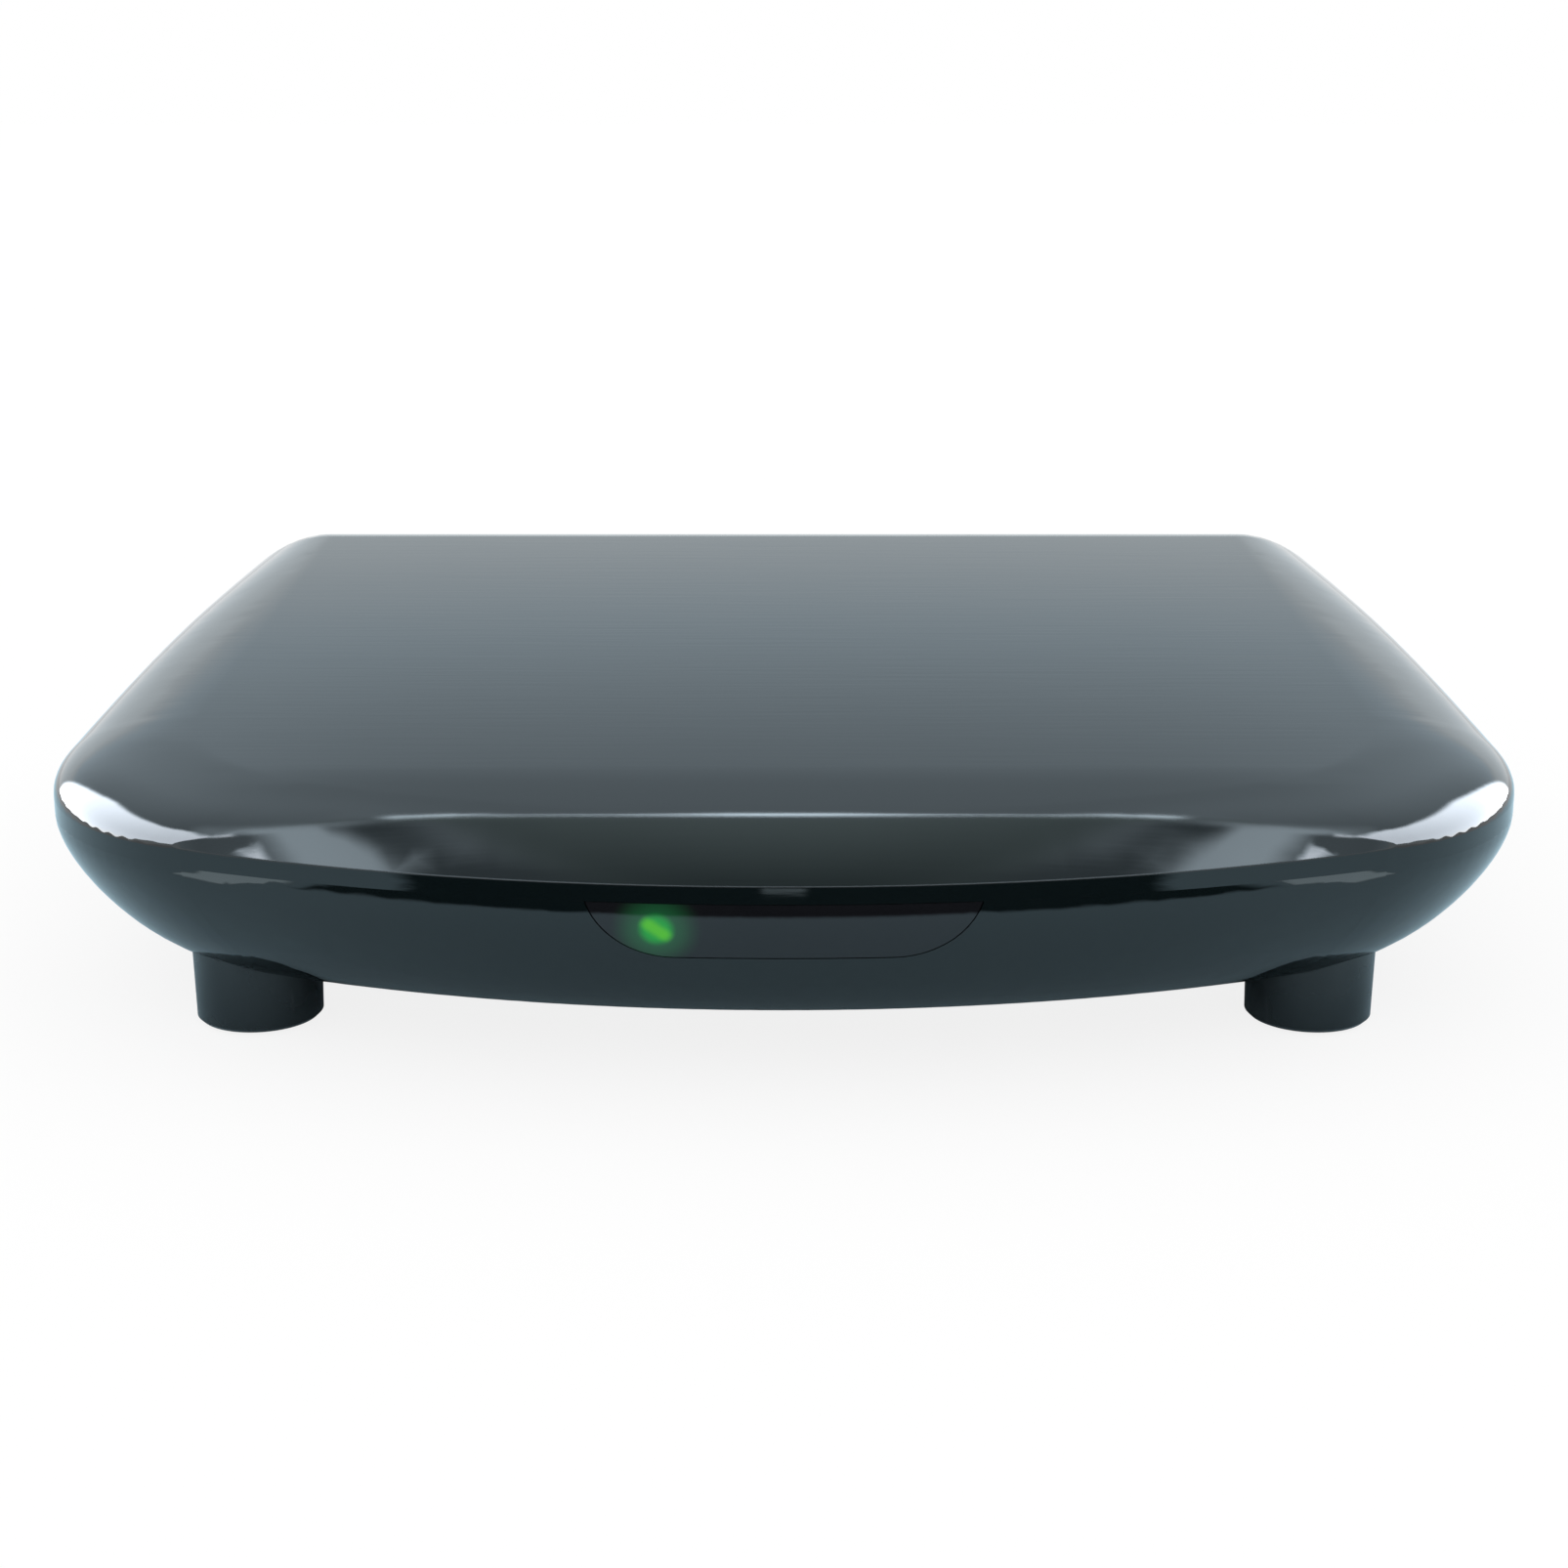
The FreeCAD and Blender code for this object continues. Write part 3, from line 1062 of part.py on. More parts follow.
def make_switch_rocker():
    """The rocker in its off position: a shallow V-shaped cap on a hub with two stub pins."""
    half_width = SWITCH_WIDTH / 2 - SWITCH_WALL - ROCKER_GAP
    half_height = SWITCH_HEIGHT / 2 - SWITCH_WALL - ROCKER_GAP - ROCKER_SWING_GAP
    tilt = math.radians(ROCKER_TILT)
    face_y = ROCKER_AXIS_Y + ROCKER_FACE
    rise = half_height * math.tan(tilt)
    upper = [
        (face_y + rise, half_height - ROCKER_LIP), (face_y + rise - ROCKER_THICKNESS, half_height),
        (face_y - ROCKER_THICKNESS, ROCKER_HUB_RADIUS * ROCKER_HUB_BLEND),
    ]
    outline = [(face_y, 0.0)] + upper + [(y, -z) for y, z in reversed(upper)]
    points = [Vector(SWITCH_X - half_width, y, SWITCH_Z + z) for y, z in outline]
    cap = Part.Face(Part.makePolygon(points + points[:1])).extrude(Vector(2 * half_width, 0, 0))
    hub = Part.makeCylinder(
        ROCKER_HUB_RADIUS, 2 * half_width,
        Vector(SWITCH_X - half_width, ROCKER_AXIS_Y, SWITCH_Z), Vector(1, 0, 0),
    )
    side_to_side = (-BELT_HALF_FRONT, BELT_HALF_FRONT)
    hub = hub.common(box(side_to_side, (0.0, face_y - ROCKER_THICKNESS / 2), (0.0, TOP_REAR_Z)))
    pin_half = half_width + ROCKER_PIN_LENGTH
    pins = Part.makeCylinder(
        ROCKER_PIN_RADIUS, 2 * pin_half,
        Vector(SWITCH_X - pin_half, ROCKER_AXIS_Y, SWITCH_Z), Vector(1, 0, 0),
    )
    rocker = joined(cap, hub, pins)
    rocker.rotate(Vector(SWITCH_X, ROCKER_AXIS_Y, SWITCH_Z), Vector(1, 0, 0), ROCKER_TILT)
    return rocker


def make_switch_terminals():
    middle_y = INNER_REAR_Y - SWITCH_DEPTH - SWITCH_BLADE[1] / 2
    low_z = SWITCH_Z - SWITCH_BLADE[2] / 2
    return Part.Compound([
        block(SWITCH_X, middle_y, low_z + side * SWITCH_BLADE_OFFSET, SWITCH_BLADE) for side in (-1, 1)
    ])


# ---- electronics on the board ----
def make_chips(places, size):
    return Part.Compound([block(x, y, BOARD_Z, size) for x, y in on_board(places)])


def make_processor():
    [(x, y)] = on_board([PROCESSOR_PLACE])
    return block(x, y, BOARD_Z, (PROCESSOR_SIDE, PROCESSOR_SIDE, PROCESSOR_HEIGHT))


def make_heat_pad():
    [(x, y)] = on_board([PROCESSOR_PLACE])
    side = PROCESSOR_SIDE - 2 * HEAT_PAD_INSET
    return block(x, y, BOARD_Z + PROCESSOR_HEIGHT, (side, side, HEAT_PAD_THICKNESS))


def make_heatsink():
    """An extruded base with upright fins."""
    [(x, y)] = on_board([PROCESSOR_PLACE])
    low = BOARD_Z + PROCESSOR_HEIGHT + HEAT_PAD_THICKNESS
    base = block(x, y, low, (HEATSINK_SIDE, HEATSINK_SIDE, HEATSINK_BASE))
    pitch = (HEATSINK_SIDE - HEATSINK_FIN) / (HEATSINK_FINS - 1)
    fin_size = (HEATSINK_FIN, HEATSINK_SIDE, HEATSINK_HEIGHT)
    fins = [block(x + (i - (HEATSINK_FINS - 1) / 2) * pitch, y, low, fin_size) for i in range(HEATSINK_FINS)]
    return joined(base, *fins)


def make_crystal():
    [(x, y)] = on_board([CRYSTAL_PLACE])
    can = block(x, y, BOARD_Z, CRYSTAL_SIZE)
    return can.makeFillet(CRYSTAL_SIZE[1] / 2 - CRYSTAL_FLAT, upright_edges(can))


def make_capacitors():
    cans = []
    for x, y in on_board(CAPACITOR_PLACES):
        cans.append(upright(CAPACITOR_RADIUS, x, y, (BOARD_Z, BOARD_Z + CAPACITOR_HEIGHT)))
    return Part.Compound(cans)


def make_coils():
    """Moulded power inductors with chamfered corners and a round ferrite top."""
    coils = []
    for x, y in on_board(COIL_PLACES):
        body = block(x, y, BOARD_Z, (COIL_SIDE, COIL_SIDE, COIL_HEIGHT))
        coils.append(body.makeChamfer(COIL_CHAMFER, upright_edges(body)))
    return Part.Compound(coils)


# ---- lamp and infrared receiver behind the window ----
def window_back_y(z):
    """Where the window's flange ends at height z, at the middle of the front."""
    return hollow_front_y(WALL + WINDOW_SEAT_GAP + WINDOW_FLANGE_THICKNESS, z)


def led_front_y():
    bow = FRONT_BOW - math.sqrt(FRONT_BOW ** 2 - LED_X ** 2)
    return window_back_y(LED_Z - LED_RADIUS) + bow + LED_TO_WINDOW


def leg_ranges(gap):
    """From where to where the lamp's two legs run along x, with a gap on either side."""
    half = LED_LEG / 2 + gap
    middles = [LED_X + side * LED_LEG_SPACING / 2 for side in (-1, 1)]
    return [(x - half, x + half) for x in middles]


def make_led():
    """A round lamp lying on its side in the holder, dome to the front, with its two legs bent down."""
    front = led_front_y()
    dome = Part.makeSphere(LED_RADIUS, Vector(LED_X, front + LED_RADIUS, LED_Z))
    body = lying(LED_RADIUS, LED_X, LED_Z, (front + LED_RADIUS, front + LED_LENGTH))
    rear = front + LED_LENGTH
    flange = lying(LED_FLANGE_RADIUS, LED_X, LED_Z, (rear - LED_FLANGE_THICKNESS, rear))
    end = rear + HOLDER_DEPTH / 2
    top = LED_Z + LED_LEG / 2
    legs = []
    for x_range in leg_ranges(0.0):
        legs.append(box(x_range, (rear - LED_LEG_ROOT, end), (top - LED_LEG, top)))
        legs.append(box(x_range, (end - LED_LEG, end), (BOARD_Z, top)))
    return joined(dome, body, flange, *legs)


def make_led_holder():
    """A spacer on the board with a ledge under the lamp and slots for its legs."""
    front = led_front_y() + LED_LENGTH
    size = (HOLDER_WIDTH, HOLDER_DEPTH, LED_Z - BOARD_Z + LED_RADIUS)
    holder = block(LED_X, front + HOLDER_DEPTH / 2, BOARD_Z, size)
    y_range = (front - PAST, front + HOLDER_DEPTH / 2 + HOLDER_SLOT_GAP)
    z_range = (BOARD_Z - PAST, LED_Z + LED_LEG / 2 + HOLDER_SLOT_GAP)
    return holder.cut([box(x_range, y_range, z_range) for x_range in leg_ranges(HOLDER_SLOT_GAP)])


def make_infrared_receiver():
    front = window_back_y(BOARD_Z) + INFRARED_TO_WINDOW
    body = block(
        INFRARED_X, front + INFRARED_DEPTH / 2, BOARD_Z, (INFRARED_WIDTH, INFRARED_DEPTH, INFRARED_HEIGHT)
    )
    z_range = (BOARD_Z + INFRARED_LENS_LOW, BOARD_Z + INFRARED_HEIGHT - INFRARED_LENS_SET)
    lens = upright(INFRARED_LENS_RADIUS, INFRARED_X, front + INFRARED_LENS_SET, z_range)
    return joined(body, lens)


def main():
    os.makedirs("parts", exist_ok=True)
    save("top_cover", make_top_cover())
    save("lower_shell", make_lower_shell())
    save("front_window", make_window())
    save("rear_panel", make_rear_panel())
    names = ("foot_front_left", "foot_front_right", "foot_rear_left", "foot_rear_right")
    for name, (x, y) in zip(names, foot_places()):
        save(name, make_foot(x, y))
    save("foot_pads", make_pads())
    save("case_screws", make_case_screws())
    save("main_board", make_main_board())
    save("board_screws", make_board_screws())
    save("tuner_can", make_tuner_can())
    save("tuner_lid", make_tuner_lid())
    for name, x in zip(("aerial_out_connector", "aerial_in_connector"), AERIAL_PLACES):
        save(name, make_aerial_connector(x))
    save("aerial_insulators", make_aerial_insulators())
    save("aerial_nuts", make_aerial_nuts())
    save("usb_shell", make_usb_shell())
    save("usb_tongue", make_usb_tongue())
    save("hdmi_shell", make_hdmi_shell())
    save("hdmi_tongue", make_hdmi_tongue())
    save("scart_socket", make_scart_socket())
    save("scart_contacts", make_scart_contacts())
    save("digital_audio_body", make_audio_body())
    save("digital_audio_barrel", make_audio_barrel())
    save("power_inlet", make_power_inlet())
    save("power_inlet_pin", make_power_pin())
    save("switch_housing", make_switch_housing())
    save("switch_rocker", make_switch_rocker())
    save("switch_terminals", make_switch_terminals())
    save("processor", make_processor())
    save("heat_pad", make_heat_pad())
    save("heatsink", make_heatsink())
    save("memory_chips", make_chips(MEMORY_PLACES, MEMORY_SIZE))
    save("flash_chip", make_chips([FLASH_PLACE], FLASH_SIZE))
    save("demodulator_chip", make_chips([DEMODULATOR_PLACE], DEMODULATOR_SIZE))
    save("crystal", make_crystal())
    save("capacitors", make_capacitors())
    save("power_coils", make_coils())
    save("regulators", make_chips(REGULATOR_PLACES, REGULATOR_SIZE))
    save("led", make_led())
    save("led_holder", make_led_holder())
    save("infrared_receiver", make_infrared_receiver())


main()
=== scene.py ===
import math
import random

import bmesh
import bpy
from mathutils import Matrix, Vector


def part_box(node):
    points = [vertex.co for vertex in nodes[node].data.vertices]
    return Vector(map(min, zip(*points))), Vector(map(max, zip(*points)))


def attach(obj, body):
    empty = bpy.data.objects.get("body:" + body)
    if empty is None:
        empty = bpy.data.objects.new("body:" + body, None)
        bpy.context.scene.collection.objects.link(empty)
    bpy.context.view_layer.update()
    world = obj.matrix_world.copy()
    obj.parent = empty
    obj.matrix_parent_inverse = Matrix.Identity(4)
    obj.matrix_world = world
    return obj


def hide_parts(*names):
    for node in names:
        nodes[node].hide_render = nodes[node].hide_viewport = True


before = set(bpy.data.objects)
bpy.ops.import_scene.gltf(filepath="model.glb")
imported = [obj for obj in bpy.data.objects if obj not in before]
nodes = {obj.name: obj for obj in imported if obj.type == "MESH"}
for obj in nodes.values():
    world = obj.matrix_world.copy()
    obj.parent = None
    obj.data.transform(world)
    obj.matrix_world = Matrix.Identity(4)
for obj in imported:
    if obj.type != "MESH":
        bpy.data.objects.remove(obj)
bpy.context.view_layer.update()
scene = bpy.context.scene
random.seed(7)


# ---- camera ----
# A little above the receiver and straight in front of it, with a long lens, so that the sloping top,
# the front facet and the belly of the lower shell all show.
SENSOR_WIDTH = 36.0
FOCAL_PIXELS = 2740.0
IMAGE_PIXELS = 1605.0
CAMERA_DISTANCE = 0.39235    # in front of the middle
CAMERA_HEIGHT = 0.1272
LOOKING_DOWN = 15.5          # degrees
camera_data = bpy.data.cameras.new("camera")
camera_data.sensor_width = SENSOR_WIDTH
camera_data.lens = FOCAL_PIXELS / IMAGE_PIXELS * SENSOR_WIDTH
camera_data.clip_start = 0.01
camera = bpy.data.objects.new("camera", camera_data)
camera.location = (0.0, -CAMERA_DISTANCE, CAMERA_HEIGHT)
camera.rotation_euler = (math.radians(90.0 - LOOKING_DOWN), 0.0, 0.0)
scene.collection.objects.link(camera)
scene.camera = camera
scene.view_settings.view_transform = "Standard"


# ---- gloss black mouldings: cover and lower shell ----
# Both are injection-moulded in black high-gloss plastic. The polished tool leaves a mirror skin with very
# fine flow lines across the width, a few hairline scratches and some dust; edges are slightly softer.
def plug(socket, value):
    """Gives a socket its value, or the wire that leads to it."""
    if isinstance(value, Wire):
        value.tree.links.new(value.socket, socket)
    else:
        socket.default_value = value


class Wire:
    """One output socket in a node tree, so that shader maths can be written as expressions."""

    def __init__(self, tree, socket):
        self.tree = tree
        self.socket = socket

    def node(self, kind, settings=(), **inputs):
        """A new node; i0, i1 and so on name an input by its number, other words by its label."""
        made = self.tree.nodes.new(kind)
        for name, value in dict(settings).items():
            setattr(made, name, value)
        for name, value in inputs.items():
            key = int(name[1:]) if name[0] == "i" and name[1:].isdigit() else name.replace("_", " ")
            plug(made.inputs[key], value)
        return made

    def out(self, output, kind, settings=(), **inputs):
        """One output, by its name or number, of a new node."""
        return Wire(self.tree, self.node(kind, settings, **inputs).outputs[output])

    def math(self, operation, *values):
        inputs = {f"i{i}": value for i, value in enumerate(values)}
        return self.out(0, "ShaderNodeMath", {"operation": operation}, **inputs)

    def __add__(self, other):
        return self.math("ADD", self, other)

    def __sub__(self, other):
        return self.math("SUBTRACT", self, other)

    def __rsub__(self, other):
        return self.math("SUBTRACT", other, self)

    def __mul__(self, other):
        return self.math("MULTIPLY", self, other)

    __radd__ = __add__
    __rmul__ = __mul__

    def power(self, exponent):
        return self.math("POWER", self, exponent)

    def unsigned(self):
        return self.math("ABSOLUTE", self)

    def at_least(self, low):
        return self.math("MAXIMUM", self, low)

    def at_most(self, high):
        return self.math("MINIMUM", self, high)

    def between(self, low, high, out_low=0.0, out_high=1.0):
        """A smooth step: out_low at the low value and under it, out_high at the high value and over it."""
        return self.out(
            "Result", "ShaderNodeMapRange", {"interpolation_type": "SMOOTHSTEP"},
            Value=self, From_Min=low, From_Max=high, To_Min=out_low, To_Max=out_high,
        )

    def fading(self, low, high, rest=0.0):
        """A smooth step from 1 down to the rest."""
        return self.between(low, high, 1.0, rest)

    def within(self, rise_start, rise_end, fall_start, fall_end):
        """0 outside, 1 in the middle, with a smooth step at either side."""
        return self.between(rise_start, rise_end) * self.fading(fall_start, fall_end)

    def mix(self, kind, low, high):
        """Mixes two values of a kind, RGBA or VECTOR, by this value."""
        made = self.node("ShaderNodeMix", {"data_type": kind}, Factor=self)
        for name, value in (("A", low), ("B", high)):
            socket = [s for s in made.inputs if s.name == name and s.type == kind][0]
            plug(socket, value if isinstance(value, Wire) else (*value, 1.0))
        return Wire(self.tree, [s for s in made.outputs if s.type == kind][0])

    def tint(self, low, high):
        """Mixes two colours by this value."""
        return self.mix("RGBA", low, high)

    def blend(self, low, high):
        """Mixes two vectors by this value."""
        return self.mix("VECTOR", low, high)

    def mix_shaders(self, low, high):
        return self.out(0, "ShaderNodeMixShader", i0=self, i1=low, i2=high)

    def split(self):
        """The X, Y and Z of a vector."""
        made = self.node("ShaderNodeSeparateXYZ", Vector=self)
        return [Wire(self.tree, output) for output in made.outputs]

    def noise(self, scale, stretch=(1.0, 1.0, 1.0), detail=3.0):
        """Noise read at this position, finer or longer along each axis by stretch."""
        placed = self.out(0, "ShaderNodeMapping", Vector=self, Scale=stretch)
        return self.out("Fac", "ShaderNodeTexNoise", Vector=placed, Scale=scale, Detail=detail)

    def cells(self, scale):
        return self.out("Distance", "ShaderNodeTexVoronoi", Vector=self, Scale=scale)

    def bump(self, strength, distance, **under):
        """The normal over this relief, and over the Normal that is given, if one is."""
        return self.out(0, "ShaderNodeBump", Height=self, Strength=strength, Distance=distance, **under)


def new_material(name):
    """An empty material; returns it with its shader node and its object coordinates."""
    material = bpy.data.materials.new(name)
    material.use_nodes = True
    tree = material.node_tree
    shader = tree.nodes["Principled BSDF"]
    place = tree.nodes.new("ShaderNodeTexCoord")
    return material, shader, Wire(tree, place.outputs["Object"])


def feed(shader, **inputs):
    """Sets inputs of the shader by their labels."""
    for name, value in inputs.items():
        plug(shader.inputs[name.replace("_", " ")], value)


def finish_nodes(material, *names):
    """Gives the named solids this material and no other."""
    for name in names:
        nodes[name].data.materials.clear()
        nodes[name].data.materials.append(material)


gloss_black, shader, place = new_material("gloss_black")
across, depth, height = place.split()
flow = place.noise(900.0, stretch=(0.05, 1.0, 1.0), detail=4.0)
dust = place.noise(2600.0, detail=2.0).between(0.74, 0.8)
blotch = place.noise(45.0, detail=3.0)
hairlines = place.noise(160.0, stretch=(0.2, 3.0, 3.0), detail=5.0).between(0.62, 0.7)
# The crease over the front facet is rounded most, the facet's lower edge hardly, and the edges at the
# parting line, at height BAND_TOP and below, not at all.
BAND_TOP = 0.0274
FACET_MIDDLE = 0.031
SHARP_RADIUS = 0.00025
CREASE_RADIUS = 0.0022
softening = height.between(FACET_MIDDLE - 0.001, FACET_MIDDLE + 0.001, SHARP_RADIUS, CREASE_RADIUS)
rounded_edges = place.out(0, "ShaderNodeBevel", {"samples": 8}, Radius=softening)
flat_normal = place.out("Normal", "ShaderNodeNewGeometry")
edge_normal = height.between(BAND_TOP - 0.0006, BAND_TOP).blend(flat_normal, rounded_edges)
# The front facet is very slightly crowned: it leans forward a little more towards its lower edge.
FACET_TOP = 0.0365
FACET_LOW = 0.0288
FACET_LEAN = 22.0            # slope per metre of height
down_facet = (FACET_TOP - height).at_least(0.0)
on_facet = (
    across.unsigned().fading(0.055, 0.080)
    * depth.fading(-0.058, -0.05)
    * height.between(FACET_LOW - 0.0016, FACET_LOW)
)
leaning = place.out(0, "ShaderNodeCombineXYZ", Y=down_facet * on_facet * -FACET_LEAN)
crown = place.out(0, "ShaderNodeVectorMath", {"operation": "ADD"}, i0=edge_normal, i1=leaning)
feed(
    shader,
    Base_Color=blotch.tint((0.002, 0.0045, 0.0052), (0.0034, 0.0062, 0.007)),
    Roughness=blotch.between(0.3, 0.7, 0.025, 0.05) + dust * 0.12 + hairlines * 0.03,
    IOR=1.5,
    Normal=flow.bump(0.02, 0.0002, Normal=crown),
)
finish_nodes(gloss_black, "top_cover", "lower_shell")


# ---- front window and its lamp ----
# A smoked acrylic lens, held behind the wall by its flange. The green lamp behind it is painted on the lens
# as
# emitted light: a round painted glow with a brighter streak, and a faint painted halo in the smoked plastic.
def show(surface):
    """Makes this shader what the material shows."""
    plug(surface.tree.nodes["Material Output"].inputs["Surface"], surface)


smoked_window, shader, place = new_material("smoked_window")
across, depth, height = place.split()
low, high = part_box("led")
LAMP_X = (low[0] + high[0]) / 2.0
LAMP_Z = 0.0228              # height of the glow in the window
# The glow, its halo and its streak are painted light: the lens itself emits them.
from_lamp_x = across - LAMP_X
from_lamp_z = height - LAMP_Z
distance = (from_lamp_x.power(2.0) + from_lamp_z.power(2.0)).power(0.5)
core = distance.fading(0.0012, 0.0026)
halo = distance.fading(0.0014, 0.006)
off_streak = from_lamp_x * 0.6 + from_lamp_z * 0.8
streak = off_streak.unsigned().fading(0.0002, 0.0013) * core
light = halo.tint((0.0, 0.0, 0.0), (0.004, 0.07, 0.02))
light = core.tint(light, (0.002, 0.27, 0.025))
light = streak.tint(light, (0.06, 0.42, 0.008))
swirl = place.noise(60.0, detail=3.0)
# A fine dark line of painted shade runs round the lens, standing for the shade in the gap to the shell.
GAP_LINE = 0.00022
rounded_edges = place.out(0, "ShaderNodeBevel", {"samples": 8}, Radius=GAP_LINE)
flat_normal = place.out("Normal", "ShaderNodeNewGeometry")
dot_product = {"operation": "DOT_PRODUCT"}
along = place.out("Value", "ShaderNodeVectorMath", dot_product, i0=rounded_edges, i1=flat_normal)
painted_gap_shade_mask = along.fading(0.9, 0.985)
feed(
    shader,
    Base_Color=swirl.tint((0.004, 0.0045, 0.006), (0.007, 0.0075, 0.009)),
    Roughness=swirl.between(0.3, 0.7, 0.03, 0.06) + place.noise(2400.0).between(0.75, 0.8) * 0.1,
    IOR=1.49,
    Emission_Color=light,
    Emission_Strength=1.0,
    Normal=swirl.bump(0.03, 0.0004),
)
gap_shade = place.out(0, "ShaderNodeBsdfDiffuse", Color=(0.001, 0.001, 0.001, 1.0))
show(painted_gap_shade_mask.mix_shaders(Wire(place.tree, shader.outputs[0]), gap_shade))
finish_nodes(smoked_window, "front_window")


# ---- feet ----
# Four drafted round feet, moulded in a satin black plastic with a very fine spark grain, each with a rubber
# disc pressed into its lower face.
foot_plastic, shader, place = new_material("foot_plastic")
grain = place.noise(5200.0, detail=2.0)
scuffs = place.noise(420.0, stretch=(1.0, 1.0, 0.15), detail=5.0).between(0.64, 0.74)
patches = place.noise(90.0, detail=3.0)
moulded = patches.tint((0.003, 0.0055, 0.0065), (0.006, 0.009, 0.0105))
feed(
    shader,
    Base_Color=scuffs.tint(moulded, (0.018, 0.022, 0.025)),
    Roughness=patches.between(0.3, 0.7, 0.24, 0.32) + scuffs * 0.15,
    IOR=1.5,
    Normal=grain.bump(0.06, 0.00008),
)
finish_nodes(foot_plastic, "foot_front_left", "foot_front_right", "foot_rear_left", "foot_rear_right")

rubber, shader, place = new_material("rubber")
pores = place.noise(3800.0, detail=3.0)
dirt = place.noise(300.0, detail=5.0).between(0.5, 0.75)
feed(
    shader,
    Base_Color=dirt.tint((0.012, 0.012, 0.013), (0.045, 0.043, 0.04)),
    Roughness=dirt.between(0.0, 1.0, 0.75, 0.9),
    Specular_IOR_Level=0.35,
    Normal=pores.bump(0.25, 0.0001),
)
finish_nodes(rubber, "foot_pads")


# ---- rear panel and the moulded socket bodies ----
# Flame-retardant black plastic with an even spark-eroded grain. Handling has polished a few high spots.
spark_plastic, shader, place = new_material("spark_plastic")
grain = place.cells(2600.0)
polish = place.noise(130.0, detail=4.0).between(0.45, 0.7)
scratches = place.noise(240.0, stretch=(0.15, 1.0, 2.5), detail=5.0).between(0.66, 0.74)
moulded = polish.tint((0.010, 0.0105, 0.011), (0.016, 0.0165, 0.017))
feed(
    shader,
    Base_Color=scratches.tint(moulded, (0.035, 0.035, 0.036)),
    Roughness=polish.between(0.0, 1.0, 0.58, 0.44),
    Specular_IOR_Level=0.45,
    Normal=grain.bump(0.22, 0.00012),
)
finish_nodes(
    spark_plastic, "rear_panel", "scart_socket", "switch_housing", "power_inlet", "infrared_receiver",
)

rocker_plastic, shader, place = new_material("rocker_plastic")
touched = place.noise(200.0, detail=3.0)
feed(
    shader,
    Base_Color=touched.tint((0.008, 0.008, 0.009), (0.014, 0.014, 0.015)),
    Roughness=touched.between(0.3, 0.7, 0.22, 0.4),
    Normal=place.noise(3000.0).bump(0.08, 0.0001),
)
finish_nodes(rocker_plastic, "switch_rocker")


# ---- bare metal shells, tuner and crystal ----
# Pressed steel, zinc plated on the shells and tinned on the tuner: drawing lines along the sheet, faint
# spangle, fingerprints, and a little dulling.
zinc_steel, shader, place = new_material("zinc_steel")
drawn = place.noise(1500.0, stretch=(1.0, 0.06, 1.0), detail=4.0)
dull = place.noise(170.0, detail=4.0).between(0.4, 0.7)
feed(
    shader,
    Base_Color=dull.tint((0.66, 0.67, 0.69), (0.5, 0.51, 0.52)),
    Metallic=1.0,
    Roughness=drawn.between(0.3, 0.7, 0.18, 0.32) + dull * 0.12,
    Normal=drawn.bump(0.12, 0.0001),
)
finish_nodes(zinc_steel, "usb_shell", "hdmi_shell", "crystal")

tinned_steel, shader, place = new_material("tinned_steel")
spangle = place.cells(320.0)
prints = place.noise(240.0, detail=5.0).between(0.55, 0.7)
feed(
    shader,
    Base_Color=spangle.between(0.0, 0.6).tint((0.7, 0.7, 0.68), (0.58, 0.585, 0.58)),
    Metallic=1.0,
    Roughness=spangle.between(0.1, 0.6, 0.24, 0.36) + prints * 0.14,
    Normal=place.noise(90.0, detail=2.0).bump(0.25, 0.0004),
)
finish_nodes(tinned_steel, "tuner_can", "tuner_lid")


# ---- aerial connectors ----
# Turned brass barrels, nickel plated, with a 3/8 inch thread of 32 turns to the inch. Each is clamped to
# the rear panel by its own hexagon nut. Both barrels are remade here with their thread.
nickel, shader, place = new_material("nickel")
lathe_marks = place.noise(2400.0, stretch=(0.08, 1.0, 0.08), detail=3.0)
tarnish = place.noise(260.0, detail=4.0).between(0.5, 0.75)
feed(
    shader,
    Base_Color=tarnish.tint((0.74, 0.71, 0.65), (0.55, 0.5, 0.42)),
    Metallic=1.0,
    Roughness=lathe_marks.between(0.3, 0.7, 0.14, 0.26) + tarnish * 0.15,
    Normal=lathe_marks.bump(0.1, 0.00008),
)
finish_nodes(nickel, "aerial_nuts")


def start_edit():
    """Edit mode on the active object, with faces picked."""
    bpy.ops.object.mode_set(mode="EDIT")
    bpy.ops.mesh.select_mode(type="FACE")


def pick_faces(piece, wanted):
    """Selects the faces whose middle and normal pass the test, leaving edit mode on."""
    bpy.ops.mesh.select_all(action="DESELECT")
    mesh = bmesh.from_edit_mesh(piece.data)
    for face in mesh.faces:
        if wanted(face.calc_center_median(), face.normal):
            face.select_set(True)
    mesh.select_flush_mode()
    bmesh.update_edit_mesh(piece.data)


def settle(piece, smooth_angle=30.0):
    """Puts the piece's place into its mesh and smooths it."""
    bpy.ops.object.select_all(action="DESELECT")
    piece.select_set(True)
    bpy.context.view_layer.objects.active = piece
    bpy.ops.object.transform_apply(location=True, rotation=True, scale=True)
    bpy.ops.object.shade_smooth_by_angle(angle=math.radians(smooth_angle))


def joined(pieces, name):
    """Joins the pieces into the first of them and names it."""
    bpy.ops.object.select_all(action="DESELECT")
    for piece in pieces:
        piece.select_set(True)
    bpy.context.view_layer.objects.active = pieces[0]
    bpy.ops.object.join()
    pieces[0].name = name
    return pieces[0]


def outward(piece):
    """Welds the points that fall together and turns all faces outward."""
    bpy.context.view_layer.objects.active = piece
    start_edit()
    bpy.ops.mesh.select_all(action="SELECT")
    bpy.ops.mesh.remove_doubles(threshold=0.000002)
    bpy.ops.mesh.normals_make_consistent(inside=False)
    bpy.ops.object.mode_set(mode="OBJECT")


